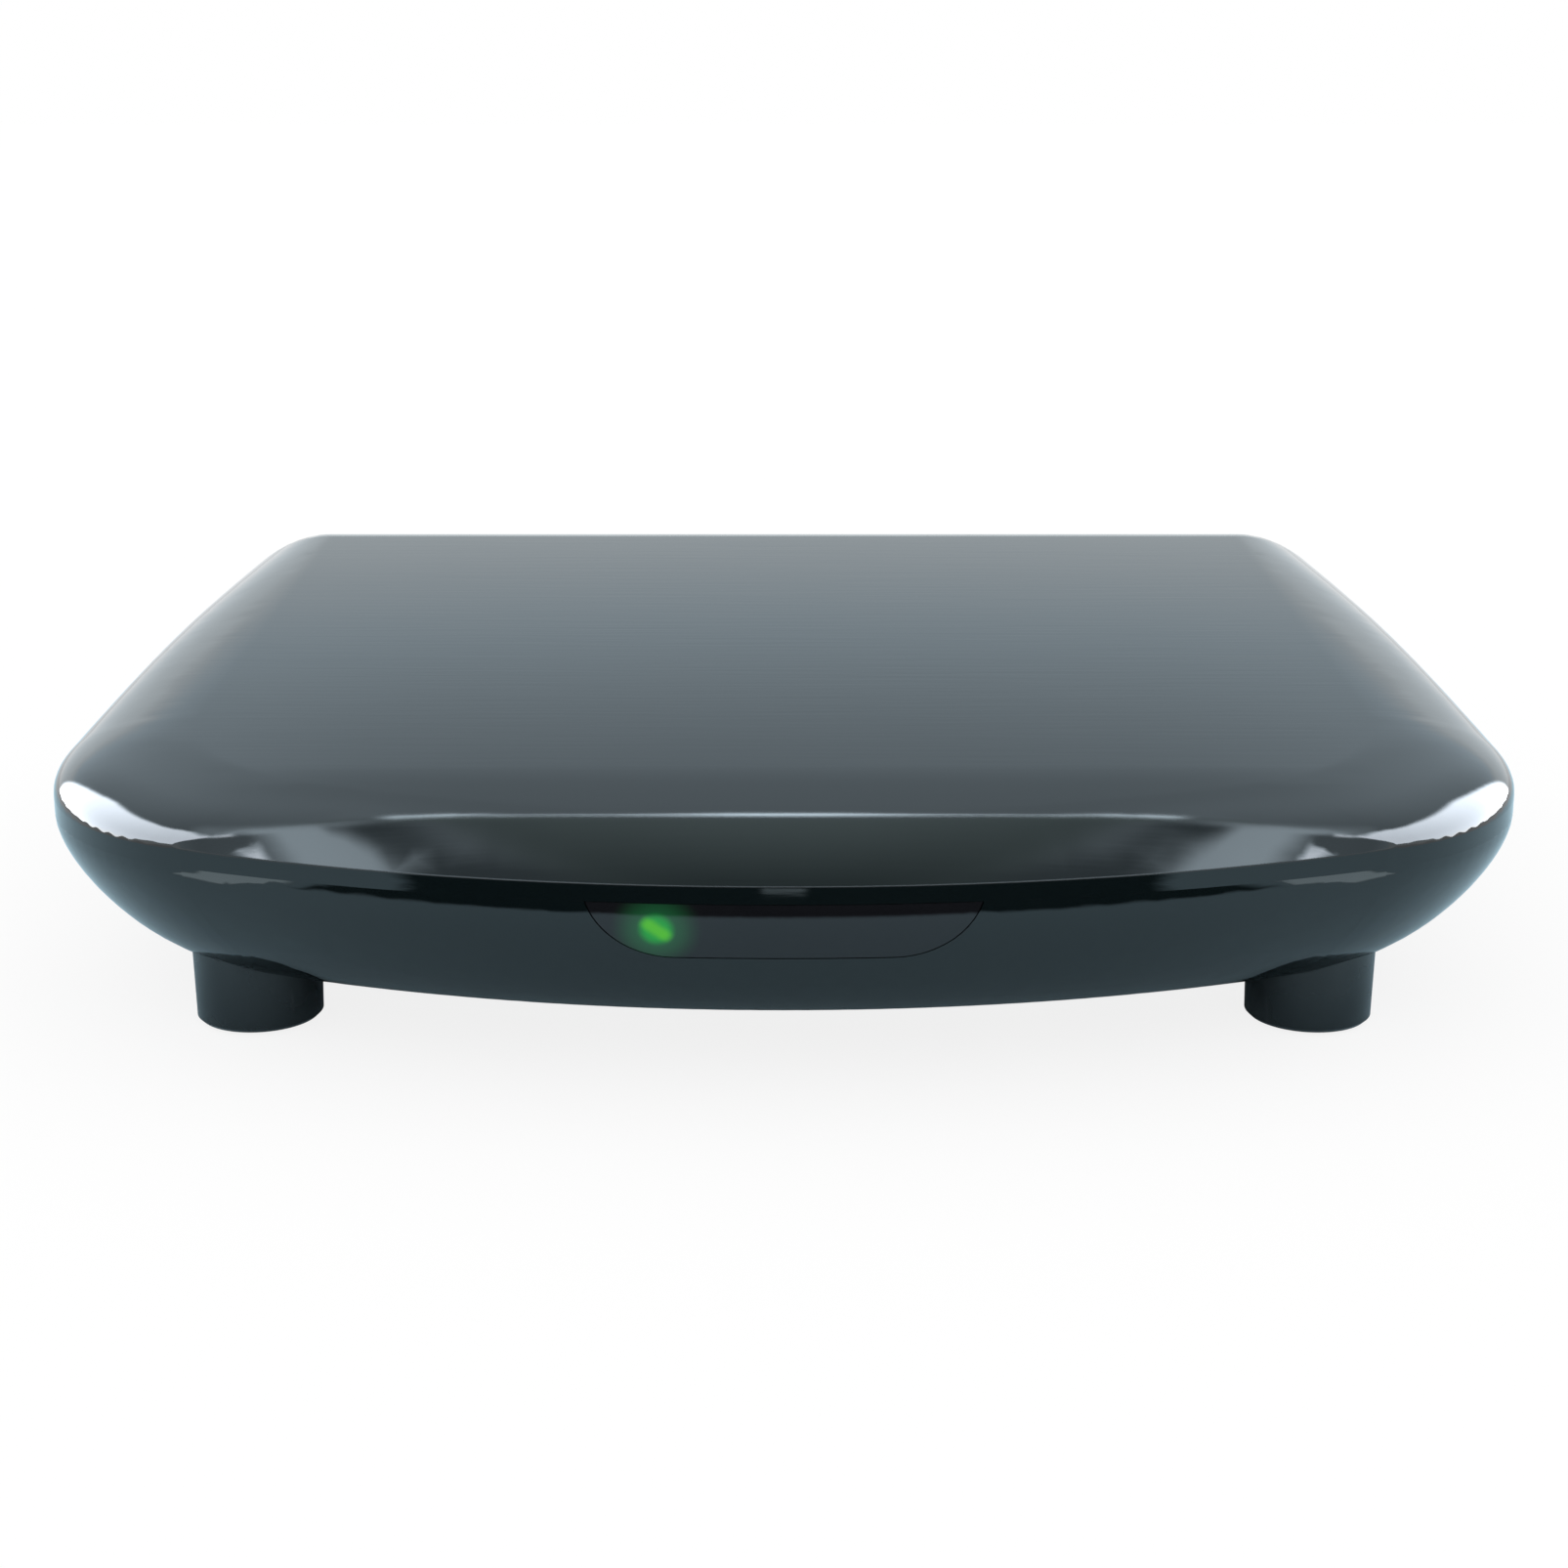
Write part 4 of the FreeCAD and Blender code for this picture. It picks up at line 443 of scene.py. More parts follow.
def bare_outline(name, points, closed):
    """A new object holding one run of edges through the points, in edit mode and all selected."""
    bpy.ops.object.select_all(action="DESELECT")
    bpy.ops.mesh.primitive_plane_add(size=0.001, location=(0.0, 0.0, 0.0))
    piece = bpy.context.object
    piece.name = name
    start_edit()
    mesh = bmesh.from_edit_mesh(piece.data)
    bmesh.ops.delete(mesh, geom=mesh.verts[:], context="VERTS")
    corners = [mesh.verts.new(point) for point in points]
    following = corners[1:] + corners[:1] if closed else corners[1:]
    for first, second in zip(corners, following):
        mesh.edges.new((first, second))
    bmesh.update_edit_mesh(piece.data)
    bpy.ops.mesh.select_all(action="SELECT")
    return piece


def turned(name, rings, middle, level=False, closed=False, steps=64):
    """Spins (radius, station) points round an axis through the middle: upright, or level along Y."""
    if level:
        points = [(middle[0] + radius, station, middle[1]) for radius, station in rings]
        centre, axis = (middle[0], 0.0, middle[1]), (0.0, 1.0, 0.0)
    else:
        points = [(middle[0] + radius, middle[1], station) for radius, station in rings]
        centre, axis = (middle[0], middle[1], 0.0), (0.0, 0.0, 1.0)
    piece = bare_outline(name, points, closed)
    bpy.ops.mesh.spin(steps=steps, angle=math.tau, center=centre, axis=axis, use_auto_merge=True)
    bpy.ops.object.mode_set(mode="OBJECT")
    outward(piece)
    return piece


RIDGE_FOOT = 0.46            # half the ridge's foot, as a share of the pitch
RIDGE_FLAT = 0.1             # and half its crest
RIDGE_SUNK = 0.0001          # how deep it reaches into the core


def thread(name, root, crest, pitch, turns, steps=40):
    """A ridge wound up round Z by the screw modifier from height 0, with its two ends closed."""
    half = pitch * RIDGE_FOOT
    flat = pitch * RIDGE_FLAT
    sunk = root - RIDGE_SUNK
    outline = [(sunk, -half), (root, -half), (crest, -flat), (crest, flat), (root, half), (sunk, half)]
    piece = bare_outline(name, [(radius, 0.0, station) for radius, station in outline], True)
    bpy.ops.object.mode_set(mode="OBJECT")
    screw = piece.modifiers.new("screw", "SCREW")
    screw.axis = "Z"
    screw.screw_offset = pitch
    screw.iterations = turns
    screw.steps = steps
    screw.render_steps = steps
    bpy.ops.object.modifier_apply(modifier=screw.name)
    start_edit()
    bpy.ops.mesh.select_mode(type="EDGE")
    bpy.ops.mesh.select_all(action="DESELECT")
    mesh = bmesh.from_edit_mesh(piece.data)
    for edge in mesh.edges:
        edge.select_set(edge.is_boundary)
    bmesh.update_edit_mesh(piece.data)
    bpy.ops.mesh.fill_holes(sides=6)
    bpy.ops.object.mode_set(mode="OBJECT")
    outward(piece)
    return piece


THREAD_PITCH = 0.0254 / 32.0
CREST_RADIUS = 0.00476
ROOT_RADIUS = 0.00434
BORE_RADIUS = 0.0036
NECK_RADIUS = 0.00556
NECK_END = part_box("aerial_nuts")[1][1]    # the neck steps down to the thread at the nuts' rear face
TIP_TAPER = 0.0009
BARREL_TURNS = 10
THREAD_START = 0.0005        # from the neck's end to the middle of the first turn

for node in ("aerial_in_connector", "aerial_out_connector"):
    low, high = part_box(node)
    middle = ((low[0] + high[0]) / 2.0, (low[2] + high[2]) / 2.0)
    back, tip = low[1], high[1]
    outline = [
        (BORE_RADIUS, back), (NECK_RADIUS, back), (NECK_RADIUS, NECK_END), (ROOT_RADIUS, NECK_END),
        (ROOT_RADIUS, tip - TIP_TAPER), (ROOT_RADIUS - 0.0004, tip - 0.0001), (ROOT_RADIUS - 0.0005, tip),
        (BORE_RADIUS + 0.0001, tip), (BORE_RADIUS, tip - 0.0001),
    ]
    barrel = turned(node + "_core", outline, middle, level=True, closed=True)
    settle(barrel, 25.0)
    ridge = thread(node + "_ridge", ROOT_RADIUS, CREST_RADIUS, THREAD_PITCH, BARREL_TURNS)
    ridge.rotation_euler = (math.radians(-90.0), 0.0, 0.0)
    ridge.location = (middle[0], NECK_END + THREAD_START, middle[1])
    settle(ridge, 20.0)
    barrel = joined([barrel, ridge], node.replace("connector", "barrel"))
    barrel.data.materials.append(nickel)
    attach(barrel, "housing")
    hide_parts(node)


# ---- screws of the case and the board ----
# Zinc plated steel, pan heads with a cross recess. The case screws come up from the underside into the
# cover's posts; the board screws go down into the standoffs. One of each is modelled and then copied.
screw_steel, shader, place = new_material("screw_steel")
plating = place.noise(700.0, detail=4.0)
feed(
    shader,
    Base_Color=plating.between(0.35, 0.65).tint((0.5, 0.51, 0.53), (0.68, 0.69, 0.7)),
    Metallic=1.0,
    Roughness=plating.between(0.3, 0.7, 0.22, 0.42),
    Normal=place.noise(2600.0).bump(0.1, 0.00006),
)
RECESS_REACH = 0.0015
RECESS_WIDTH = 0.00062
RECESS_DEPTH = 0.0012
RECESS_NARROWING = (0.45, 0.6, 1.0)
HEAD_ROUNDING = 0.0005
SCREW_ROOT = 0.00125
SCREW_CREST = 0.00145
SCREW_PITCH = 0.0013
SCREW_LAP = 0.0001           # how far the shank reaches into the head
SCREW_TAPER = 0.0012         # length of the point
SCREW_TIP_RADIUS = 0.0003
RIDGE_GAP = 0.0004           # from the head to the middle of the last turn
UNTHREADED = 0.002           # length left bare at the head and at the point together


def model_screw(name, head_radius, head_height, length):
    """A screw pointing down from the origin, with its head from 0 up to its height."""
    rings = [(0.0, 0.0), (head_radius, 0.0)]
    for inset, drop in ((0.0, 2.0), (0.3, 1.0), (1.4, 0.2), (2.4, 0.0)):
        rings.append((head_radius - inset * HEAD_ROUNDING, head_height - drop * HEAD_ROUNDING))
    rings.append((0.0, head_height))
    head = turned(name, rings, (0.0, 0.0), steps=40)
    for turn in (0.0, 90.0):
        bpy.ops.object.select_all(action="DESELECT")
        bpy.ops.mesh.primitive_cube_add(
            size=1.0, location=(0.0, 0.0, head_height), rotation=(0.0, 0.0, math.radians(turn)),
            scale=(2.0 * RECESS_REACH, RECESS_WIDTH, 2.0 * RECESS_DEPTH),
        )
        cutter = bpy.context.object
        start_edit()
        pick_faces(cutter, lambda middle, normal: normal.z < -0.9)
        bpy.ops.transform.resize(value=RECESS_NARROWING)
        bpy.ops.object.mode_set(mode="OBJECT")
        cut = head.modifiers.new("recess", "BOOLEAN")
        cut.operation = "DIFFERENCE"
        cut.solver = "EXACT"
        cut.object = cutter
        bpy.context.view_layer.objects.active = head
        bpy.ops.object.modifier_apply(modifier=cut.name)
        bpy.data.objects.remove(cutter)
    core = turned(name + "_core", [
        (0.0, SCREW_LAP), (SCREW_ROOT, SCREW_LAP), (SCREW_ROOT, SCREW_TAPER - length),
        (SCREW_TIP_RADIUS, -length), (0.0, -length),
    ], (0.0, 0.0), steps=20)
    turns = int((length - UNTHREADED) / SCREW_PITCH)
    ridge = thread(name + "_ridge", SCREW_ROOT, SCREW_CREST, SCREW_PITCH, turns, steps=20)
    ridge.location = (0.0, 0.0, -turns * SCREW_PITCH - RIDGE_GAP)
    for part in (head, core, ridge):
        settle(part, 28.0)
    return joined([head, core, ridge], name)


def set_screws(pattern, places, seat, upside_down, name, node):
    """Copies the screw to each place, turned at random, as one group that replaces the node."""
    screws = []
    for x, y in places:
        one = pattern.copy()
        one.data = pattern.data.copy()
        scene.collection.objects.link(one)
        one.rotation_euler = (math.radians(180.0) if upside_down else 0.0, 0.0, random.uniform(0.0, 1.5))
        one.location = (x, y, seat)
        settle(one, 28.0)
        screws.append(one)
    group = joined(screws, name)
    group.data.materials.append(screw_steel)
    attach(group, "housing")
    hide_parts(node)
    bpy.data.objects.remove(pattern)


CASE_SEAT = 0.0111           # height of the seats in the lower shell
CASE_PLACES = [(x, y) for x in (-0.076, 0.076) for y in (-0.02975, 0.02025)]
BOARD_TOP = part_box("main_board")[1][2]
BOARD_PLACES = [(-0.052, -0.01175), (0.052, -0.01175), (0.032, 0.04025), (-0.08001, 0.04825)]
case_screw = model_screw("case_screw", head_radius=0.0029, head_height=0.0019, length=0.0178)
set_screws(case_screw, CASE_PLACES, CASE_SEAT, True, "case_screws_cross_headed", "case_screws")
board_screw = model_screw("board_screw", head_radius=0.0028, head_height=0.0018, length=0.0058)
set_screws(board_screw, BOARD_PLACES, BOARD_TOP, False, "board_screws_cross_headed", "board_screws")


# ---- contacts and cores of the sockets ----
# Stamped phosphor bronze, gold flashed: the blades of the wide video socket, the centre pin of the power
# inlet, the switch's tags and the strips on two tongues. The plastic cores, the orange body of the audio
# socket and the pale holders follow.
gold_contact, shader, place = new_material("gold_contact")
wear = place.noise(600.0, detail=4.0).between(0.45, 0.7)
feed(
    shader,
    Base_Color=wear.tint((0.83, 0.58, 0.22), (0.7, 0.52, 0.27)),
    Metallic=1.0,
    Roughness=wear.between(0.0, 1.0, 0.18, 0.34),
    Normal=place.noise(2200.0, stretch=(1.0, 0.1, 1.0)).bump(0.08, 0.00006),
)
finish_nodes(gold_contact, "scart_contacts", "digital_audio_barrel", "switch_terminals", "power_inlet_pin")

EDGE_TAKEN = 0.3             # the bevel, as a share of the least size


def copies(pattern, places):
    """Copies of a piece that was modelled at the origin, each with its own mesh; the pattern goes."""
    made = []
    for middle in places:
        one = pattern.copy()
        one.data = pattern.data.copy()
        scene.collection.objects.link(one)
        one.location = middle
        made.append(one)
    bpy.ops.object.select_all(action="DESELECT")
    for one in made:
        one.select_set(True)
    bpy.ops.object.transform_apply(location=True, rotation=False, scale=False)
    bpy.data.objects.remove(pattern)
    return made


def strips(size, places):
    """Small bars with their edges taken off, one at each place."""
    bpy.ops.object.select_all(action="DESELECT")
    bpy.ops.mesh.primitive_cube_add(size=1.0, location=(0.0, 0.0, 0.0), scale=size)
    pattern = bpy.context.object
    settle(pattern)
    start_edit()
    bpy.ops.mesh.select_all(action="SELECT")
    bpy.ops.mesh.bevel(offset=min(size) * EDGE_TAKEN, segments=1)
    bpy.ops.object.mode_set(mode="OBJECT")
    return copies(pattern, places)


def finished_group(pieces, name, material):
    """Joins the pieces into one that rides on the housing, with its material."""
    group = joined(pieces, name)
    group.data.materials.append(material)
    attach(group, "housing")


def strips_on(node, size, shifts, back, height):
    """Equal strips on a tongue, side by side; back is how far their middle lies before the tongue's end."""
    low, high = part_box(node)
    middle = (low[0] + high[0]) / 2.0
    return strips(size, [(middle + shift, high[1] - back, height) for shift in shifts])


WIDE_STRIP = (0.001, 0.009, 0.0002)
WIDE_SHIFTS = (-0.0035, -0.001, 0.001, 0.0035)
contacts = strips_on("usb_tongue", WIDE_STRIP, WIDE_SHIFTS, back=0.0055, height=0.0203)
finished_group(contacts, "usb_contacts", gold_contact)
NARROW_STRIP = (0.0003, 0.005, 0.00012)
NARROW_SPACING = 0.001
contacts = []
for count, height in ((10, 0.0204), (9, 0.0184)):
    shifts = [(i - (count - 1) / 2.0) * NARROW_SPACING for i in range(count)]
    contacts += strips_on("hdmi_tongue", NARROW_STRIP, shifts, back=0.0031, height=height)
finished_group(contacts, "digital_video_contacts", gold_contact)

core_plastic, shader, place = new_material("core_plastic")
moulded = place.noise(800.0, detail=3.0)
feed(
    shader,
    Base_Color=moulded.tint((0.009, 0.009, 0.01), (0.016, 0.016, 0.017)),
    Roughness=moulded.between(0.3, 0.7, 0.4, 0.55),
    Normal=moulded.bump(0.12, 0.0001),
)
finish_nodes(core_plastic, "usb_tongue", "hdmi_tongue")

orange_plastic, shader, place = new_material("orange_plastic")
moulded = place.noise(500.0, detail=3.0)
feed(
    shader,
    Base_Color=moulded.tint((0.72, 0.17, 0.012), (0.82, 0.23, 0.02)),
    Roughness=moulded.between(0.3, 0.7, 0.32, 0.46),
    Normal=place.noise(2600.0).bump(0.08, 0.00008),
)
finish_nodes(orange_plastic, "digital_audio_body")

pale_plastic, shader, place = new_material("pale_plastic")
moulded = place.noise(500.0, detail=3.0)
feed(
    shader,
    Base_Color=moulded.tint((0.78, 0.76, 0.69), (0.84, 0.83, 0.78)),
    Roughness=moulded.between(0.3, 0.7, 0.42, 0.55),
    Normal=place.noise(2600.0).bump(0.06, 0.00008),
)
finish_nodes(pale_plastic, "aerial_insulators", "led_holder")


# ---- main board ----
# Glass-fibre board under a green solder mask. Copper shows through the mask as a lighter green, the through
# holes are ringed with tin, and small chip parts are soldered in rows beside the large ones.
circuit_board, shader, place = new_material("circuit_board")
runs = place.out(
    "Distance", "ShaderNodeTexVoronoi", {"feature": "DISTANCE_TO_EDGE"},
    Vector=place, Scale=260.0, Randomness=0.35,
)
track = runs.fading(0.04, 0.06)
pour = place.noise(55.0, detail=0.0).between(0.53, 0.54)
copper = track.at_least(pour)
holes = place.out("Distance", "ShaderNodeTexVoronoi", Vector=place, Scale=300.0, Randomness=0.6)
drilled = place.noise(90.0).between(0.5, 0.52)
ring = holes.fading(0.13, 0.15) * drilled
weave = place.noise(1800.0, stretch=(1.0, 1.0, 0.2), detail=2.0)
mask = copper.tint((0.004, 0.045, 0.018), (0.012, 0.105, 0.04))
feed(
    shader,
    Base_Color=ring.tint(mask, (0.62, 0.6, 0.55)),
    Metallic=ring * 0.9,
    Roughness=weave.between(0.3, 0.7, 0.28, 0.38),
    Normal=(copper + ring).bump(0.5, 0.00003),
)
finish_nodes(circuit_board, "main_board")

chip_plastic, shader, place = new_material("chip_plastic")
speckle = place.noise(3200.0, detail=2.0)
feed(
    shader,
    Base_Color=speckle.between(0.4, 0.7).tint((0.012, 0.012, 0.013), (0.024, 0.024, 0.026)),
    Roughness=speckle.between(0.3, 0.7, 0.5, 0.62),
    Normal=speckle.bump(0.15, 0.00008),
)
finish_nodes(chip_plastic, "processor", "memory_chips", "flash_chip", "demodulator_chip", "regulators")

LEG_THICKNESS = 0.00015
LEG_WIDTH = 0.00028
LEG_RUN = 0.0007             # length of a leg's two level parts
SHOULDER_REACH = 0.0003      # from the chip's flank to the middle of each part of a leg
DROP_REACH = 0.00062
SOLE_REACH = 0.00095


def legs_along(middle, half, side, count, spacing, shoulder):
    """Gull-wing legs down one side of a chip: out of its flank, down, and flat on the board."""
    level_part = (LEG_WIDTH, LEG_RUN, LEG_THICKNESS)
    upright_part = (LEG_WIDTH, LEG_THICKNESS, shoulder)
    parts = (
        (SHOULDER_REACH, level_part, BOARD_TOP + shoulder),
        (DROP_REACH, upright_part, BOARD_TOP + shoulder / 2.0),
        (SOLE_REACH, level_part, BOARD_TOP + LEG_THICKNESS / 2.0),
    )
    sign = -1.0 if side in ("front", "left") else 1.0
    shifts = [(i - (count - 1) / 2.0) * spacing for i in range(count)]
    made = []
    for reach, size, z in parts:
        out = sign * (half + reach)
        if side in ("front", "back"):
            made += strips(size, [(middle[0] + shift, middle[1] + out, z) for shift in shifts])
        else:
            turned_size = (size[1], size[0], size[2])
            made += strips(turned_size, [(middle[0] + out, middle[1] + shift, z) for shift in shifts])
    return made


def chip(node):
    """A chip's middle seen from above, half its width and half its depth."""
    low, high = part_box(node)
    middle = ((low[0] + high[0]) / 2.0, (low[1] + high[1]) / 2.0)
    return middle, (high[0] - low[0]) / 2.0, (high[1] - low[1]) / 2.0


legs = []
middle, half_width, half_depth = chip("demodulator_chip")
for side, half in (("front", half_depth), ("back", half_depth), ("left", half_width), ("right", half_width)):
    legs += legs_along(middle, half, side, count=10, spacing=0.001, shoulder=0.0006)
middle, half_width, half_depth = chip("flash_chip")
for side in ("left", "right"):
    legs += legs_along(middle, half_width, side, count=4, spacing=0.00127, shoulder=0.0007)
# The two memory chips are one node: one stands at the front of its box and the other at the back.
MEMORY_HALF_DEPTH = 0.004
middle, half_width, half_depth = chip("memory_chips")
for shift in (MEMORY_HALF_DEPTH - half_depth, half_depth - MEMORY_HALF_DEPTH):
    one = (middle[0], middle[1] + shift)
    for side in ("front", "back"):
        legs += legs_along(one, MEMORY_HALF_DEPTH, side, count=14, spacing=0.0008, shoulder=0.0005)
finished_group(legs, "chip_legs", tinned_steel)

chip_part_body, shader, place = new_material("chip_part_body")
kind = place.noise(140.0, detail=0.0).between(0.49, 0.51)
feed(
    shader,
    Base_Color=kind.tint((0.016, 0.016, 0.018), (0.36, 0.25, 0.14)),
    Roughness=place.noise(2500.0).between(0.3, 0.7, 0.4, 0.55),
    Normal=place.noise(3000.0).bump(0.1, 0.00005),
)
PART_BODY = (0.0011, 0.0008, 0.0005)
PART_CAP = (0.0003, 0.00084, 0.00054)
CAP_SHIFT = 0.00065          # from a part's middle to each of its soldered ends
BODY_RISE = 0.00026          # from the board to the middle of a body, and of an end
CAP_RISE = 0.00028
ROW_GAP = 0.0034             # from the processor's edge to the rows beside it
MEMORY_ROW_X = -0.030
RIGHT_ROW_X = 0.0445
low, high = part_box("processor")
# Rows of parts along X, and rows of parts along Y, whose parts lie the other way round. Steps of 3 mm.
rows_x = [(x * 0.001, y) for y in (low[1] - ROW_GAP, high[1] + ROW_GAP) for x in range(-2, 20, 3)]
rows_y = [(high[0] + ROW_GAP, y * 0.001) for y in range(-2, 20, 3)]
rows_y += [(MEMORY_ROW_X, y * 0.001) for y in range(-3, 17, 3)]
rows_y += [(RIGHT_ROW_X, y * 0.001) for y in range(6, 24, 3)]
ends = (-CAP_SHIFT, CAP_SHIFT)
body_z = BOARD_TOP + BODY_RISE
cap_z = BOARD_TOP + CAP_RISE
bodies = strips(PART_BODY, [(x, y, body_z) for x, y in rows_x])
caps = strips(PART_CAP, [(x + end, y, cap_z) for x, y in rows_x for end in ends])
turned_body = (PART_BODY[1], PART_BODY[0], PART_BODY[2])
turned_cap = (PART_CAP[1], PART_CAP[0], PART_CAP[2])
bodies += strips(turned_body, [(x, y, body_z) for x, y in rows_y])
caps += strips(turned_cap, [(x, y + end, cap_z) for x, y in rows_y for end in ends])
finished_group(bodies, "chip_part_bodies", chip_part_body)
finished_group(caps, "chip_part_ends", tinned_steel)


# ---- capacitors, coils and cooling ----
# Aluminium cans in a plain dark sleeve, rolled in near the foot, with a scored vent in the bare top. The
# coils are pressed ferrite, and the heatsink is extruded and lies on a soft grey pad.
capacitor_sleeve, shader, place = new_material("capacitor_sleeve")
shrink = place.noise(700.0, stretch=(1.0, 1.0, 0.2), detail=3.0)
feed(
    shader,
    Base_Color=shrink.tint((0.008, 0.012, 0.035), (0.014, 0.02, 0.055)),
    Roughness=shrink.between(0.3, 0.7, 0.2, 0.34),
    Normal=shrink.bump(0.1, 0.0001),
)
bare_aluminium, shader, place = new_material("bare_aluminium")
drawn = place.noise(1400.0, stretch=(0.08, 1.0, 1.0), detail=4.0)
oxide = place.noise(160.0, detail=3.0)
feed(
    shader,
    Base_Color=oxide.tint((0.6, 0.61, 0.63), (0.7, 0.71, 0.72)),
    Metallic=1.0,
    Roughness=drawn.between(0.3, 0.7, 0.28, 0.42),
    Normal=drawn.bump(0.15, 0.0001),
)
finish_nodes(bare_aluminium, "heatsink")

CAN_PLACES = ((-0.044, 0.03825), (-0.056, 0.03825), (-0.068, 0.03825), (-0.066, 0.00825))
CAN_RADIUS = 0.004
VENT_DEPTH = 0.00025
SCORE_SIZE = (0.0052, 0.0003, 0.0003)
BARE_TOP = 0.0006            # how far down from the top the can is bare
low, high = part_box("capacitors")
foot_z, top_z = low[2], high[2]
# The can's outline from the middle of its foot, round the rolled-in groove, to the middle of its top: each
# radius with the height above the foot, and then with the depth below the top.
lower_outline = (
    (0.0, 0.0), (0.0036, 0.0), (CAN_RADIUS, 0.0004), (CAN_RADIUS, 0.0014), (0.0037, 0.0018),
    (0.0037, 0.0022), (CAN_RADIUS, 0.0026),
)
upper_outline = (
    (CAN_RADIUS, 0.0005), (0.0038, 0.0001), (0.0036, 0.0), (0.0032, 0.0), (0.0031, VENT_DEPTH),
    (0.0, VENT_DEPTH),
)
can_rings = [(radius, foot_z + rise) for radius, rise in lower_outline]
can_rings += [(radius, top_z - drop) for radius, drop in upper_outline]
can = turned("can", can_rings, (0.0, 0.0), steps=40)
for turn in (45.0, 135.0):
    bpy.ops.object.select_all(action="DESELECT")
    bpy.ops.mesh.primitive_cube_add(
        size=1.0, location=(0.0, 0.0, top_z - VENT_DEPTH), rotation=(0.0, 0.0, math.radians(turn)),
        scale=SCORE_SIZE,
    )
    cutter = bpy.context.object
    score = can.modifiers.new("score", "BOOLEAN")
    score.operation = "DIFFERENCE"
    score.object = cutter
    bpy.context.view_layer.objects.active = can
    bpy.ops.object.modifier_apply(modifier=score.name)
    bpy.data.objects.remove(cutter)
settle(can, 25.0)
cans = copies(can, [(x, y, 0.0) for x, y in CAN_PLACES])
cans = joined(cans, "scored_capacitors")
cans.data.materials.append(capacitor_sleeve)
cans.data.materials.append(bare_aluminium)
for face in cans.data.polygons:
    if face.center.z > top_z - BARE_TOP and face.normal.z > 0.3:
        face.material_index = 1
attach(cans, "housing")
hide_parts("capacitors")

ferrite, shader, place = new_material("ferrite")
pressed = place.noise(1500.0, detail=4.0)
feed(
    shader,
    Base_Color=pressed.tint((0.035, 0.035, 0.038), (0.075, 0.073, 0.075)),
    Roughness=pressed.between(0.3, 0.7, 0.55, 0.72),
    Normal=pressed.bump(0.3, 0.0001),
)
finish_nodes(ferrite, "power_coils")

grey_pad, shader, place = new_material("grey_pad")
filler = place.noise(1600.0, detail=3.0)
feed(
    shader,
    Base_Color=filler.tint((0.25, 0.27, 0.3), (0.33, 0.35, 0.38)),
    Roughness=0.8,
    Normal=filler.bump(0.3, 0.0001),
)
finish_nodes(grey_pad, "heat_pad")


# ---- lamp ----
# A 3 mm lamp with a tinted diffusing body, lit. It stands behind the front window, whose own material bears
# the painted glow that shows in front.
green_lamp, shader, place = new_material("green_lamp")
diffuser = place.noise(900.0, detail=2.0)
feed(
    shader,
    Base_Color=diffuser.tint((0.1, 0.5, 0.12), (0.2, 0.62, 0.2)),
    Roughness=diffuser.between(0.3, 0.7, 0.2, 0.3),
    Emission_Color=(0.1, 0.8, 0.15, 1.0),
    Emission_Strength=0.6,
)
finish_nodes(green_lamp, "led")


# ---- floor, backdrop and light ----
# A plain pale floor in a white studio. Only reflections see its painted reflection: pale close by and dark
# past the table's curved front edge, with a painted glint in the middle and a painted lit patch at each
# corner. The studio is a soft wall of light behind, with a thin bar of light above it and a tall panel of
# light at each side.
TABLE_FRONT = 0.1125         # from the middle to the table's front edge
SEEN_SHARE = 0.85            # how much of the floor is plain white to the camera; the rest takes the shadow
SEEN_GLOW = 1.176            # makes that share of white a strength of 1
GLINT_GLOW = 1.6
CORNER_GLOW = 2.6
bpy.ops.object.select_all(action="DESELECT")
bpy.ops.mesh.primitive_plane_add(size=8.0, location=(0.0, 0.0, 0.0))
floor = bpy.context.object
floor.name = "floor"
floor_paint, shader, place = new_material("floor_paint")
across, depth, height = place.split()
sideways = across.unsigned()
in_gloss = place.out("Is Glossy Ray", "ShaderNodeLightPath")
# The floor's colour as reflections see it is a painted reflection: pale near, dark past the edge.
table_edge = sideways.power(2.0) - TABLE_FRONT
past_edge = (table_edge - depth).between(-0.003, 0.004) * sideways.fading(0.092, 0.1)
far = (sideways.power(2.0) + depth.power(2.0)).between(0.03, 0.12)
pale = far.tint((0.6, 0.84, 0.97), (0.85, 0.88, 0.9))
painted_reflection = in_gloss.tint((0.9, 0.9, 0.9), past_edge.tint(pale, (0.01, 0.01, 0.01)))
feed(shader, Base_Color=painted_reflection, Roughness=0.9, Specular_IOR_Level=0.0)
# Painted glint and painted lit patches: the floor glows here for reflections only.
glint = sideways.fading(0.004, 0.0078) * depth.within(-0.1736, -0.1726, -0.171, -0.170)
corner_light = sideways.within(0.1, 0.106, 0.122, 0.128) * depth.within(-0.118, -0.112, -0.092, -0.084)
seen = place.out("Is Camera Ray", "ShaderNodeLightPath") * SEEN_SHARE
glow_color = in_gloss.tint((1.0, 1.0, 1.0), (0.74, 0.92, 1.0))
glow_strength = seen * SEEN_GLOW + in_gloss * (glint * GLINT_GLOW + corner_light * CORNER_GLOW)
glow = place.out(0, "ShaderNodeEmission", Color=glow_color, Strength=glow_strength)
glowing = seen.at_least(in_gloss * (glint + corner_light).between(0.0, 1.0))
surface = glowing.mix_shaders(Wire(place.tree, shader.outputs[0]), glow)
# From below it is see-through, so that the underside can be looked at.
below = place.out("Backfacing", "ShaderNodeNewGeometry")
show(below.mix_shaders(surface, place.out(0, "ShaderNodeBsdfTransparent")))
floor.data.materials.append(floor_paint)

DEGREES = 57.2958            # in a radian
WALL_GLOW = 1.1
BAR_GLOW = 6.0
SIDE_GLOW = 4.0
PANEL_GLOW = 10.0
world = bpy.data.worlds.new("studio")
scene.world = world
world.use_nodes = True
tree = world.node_tree
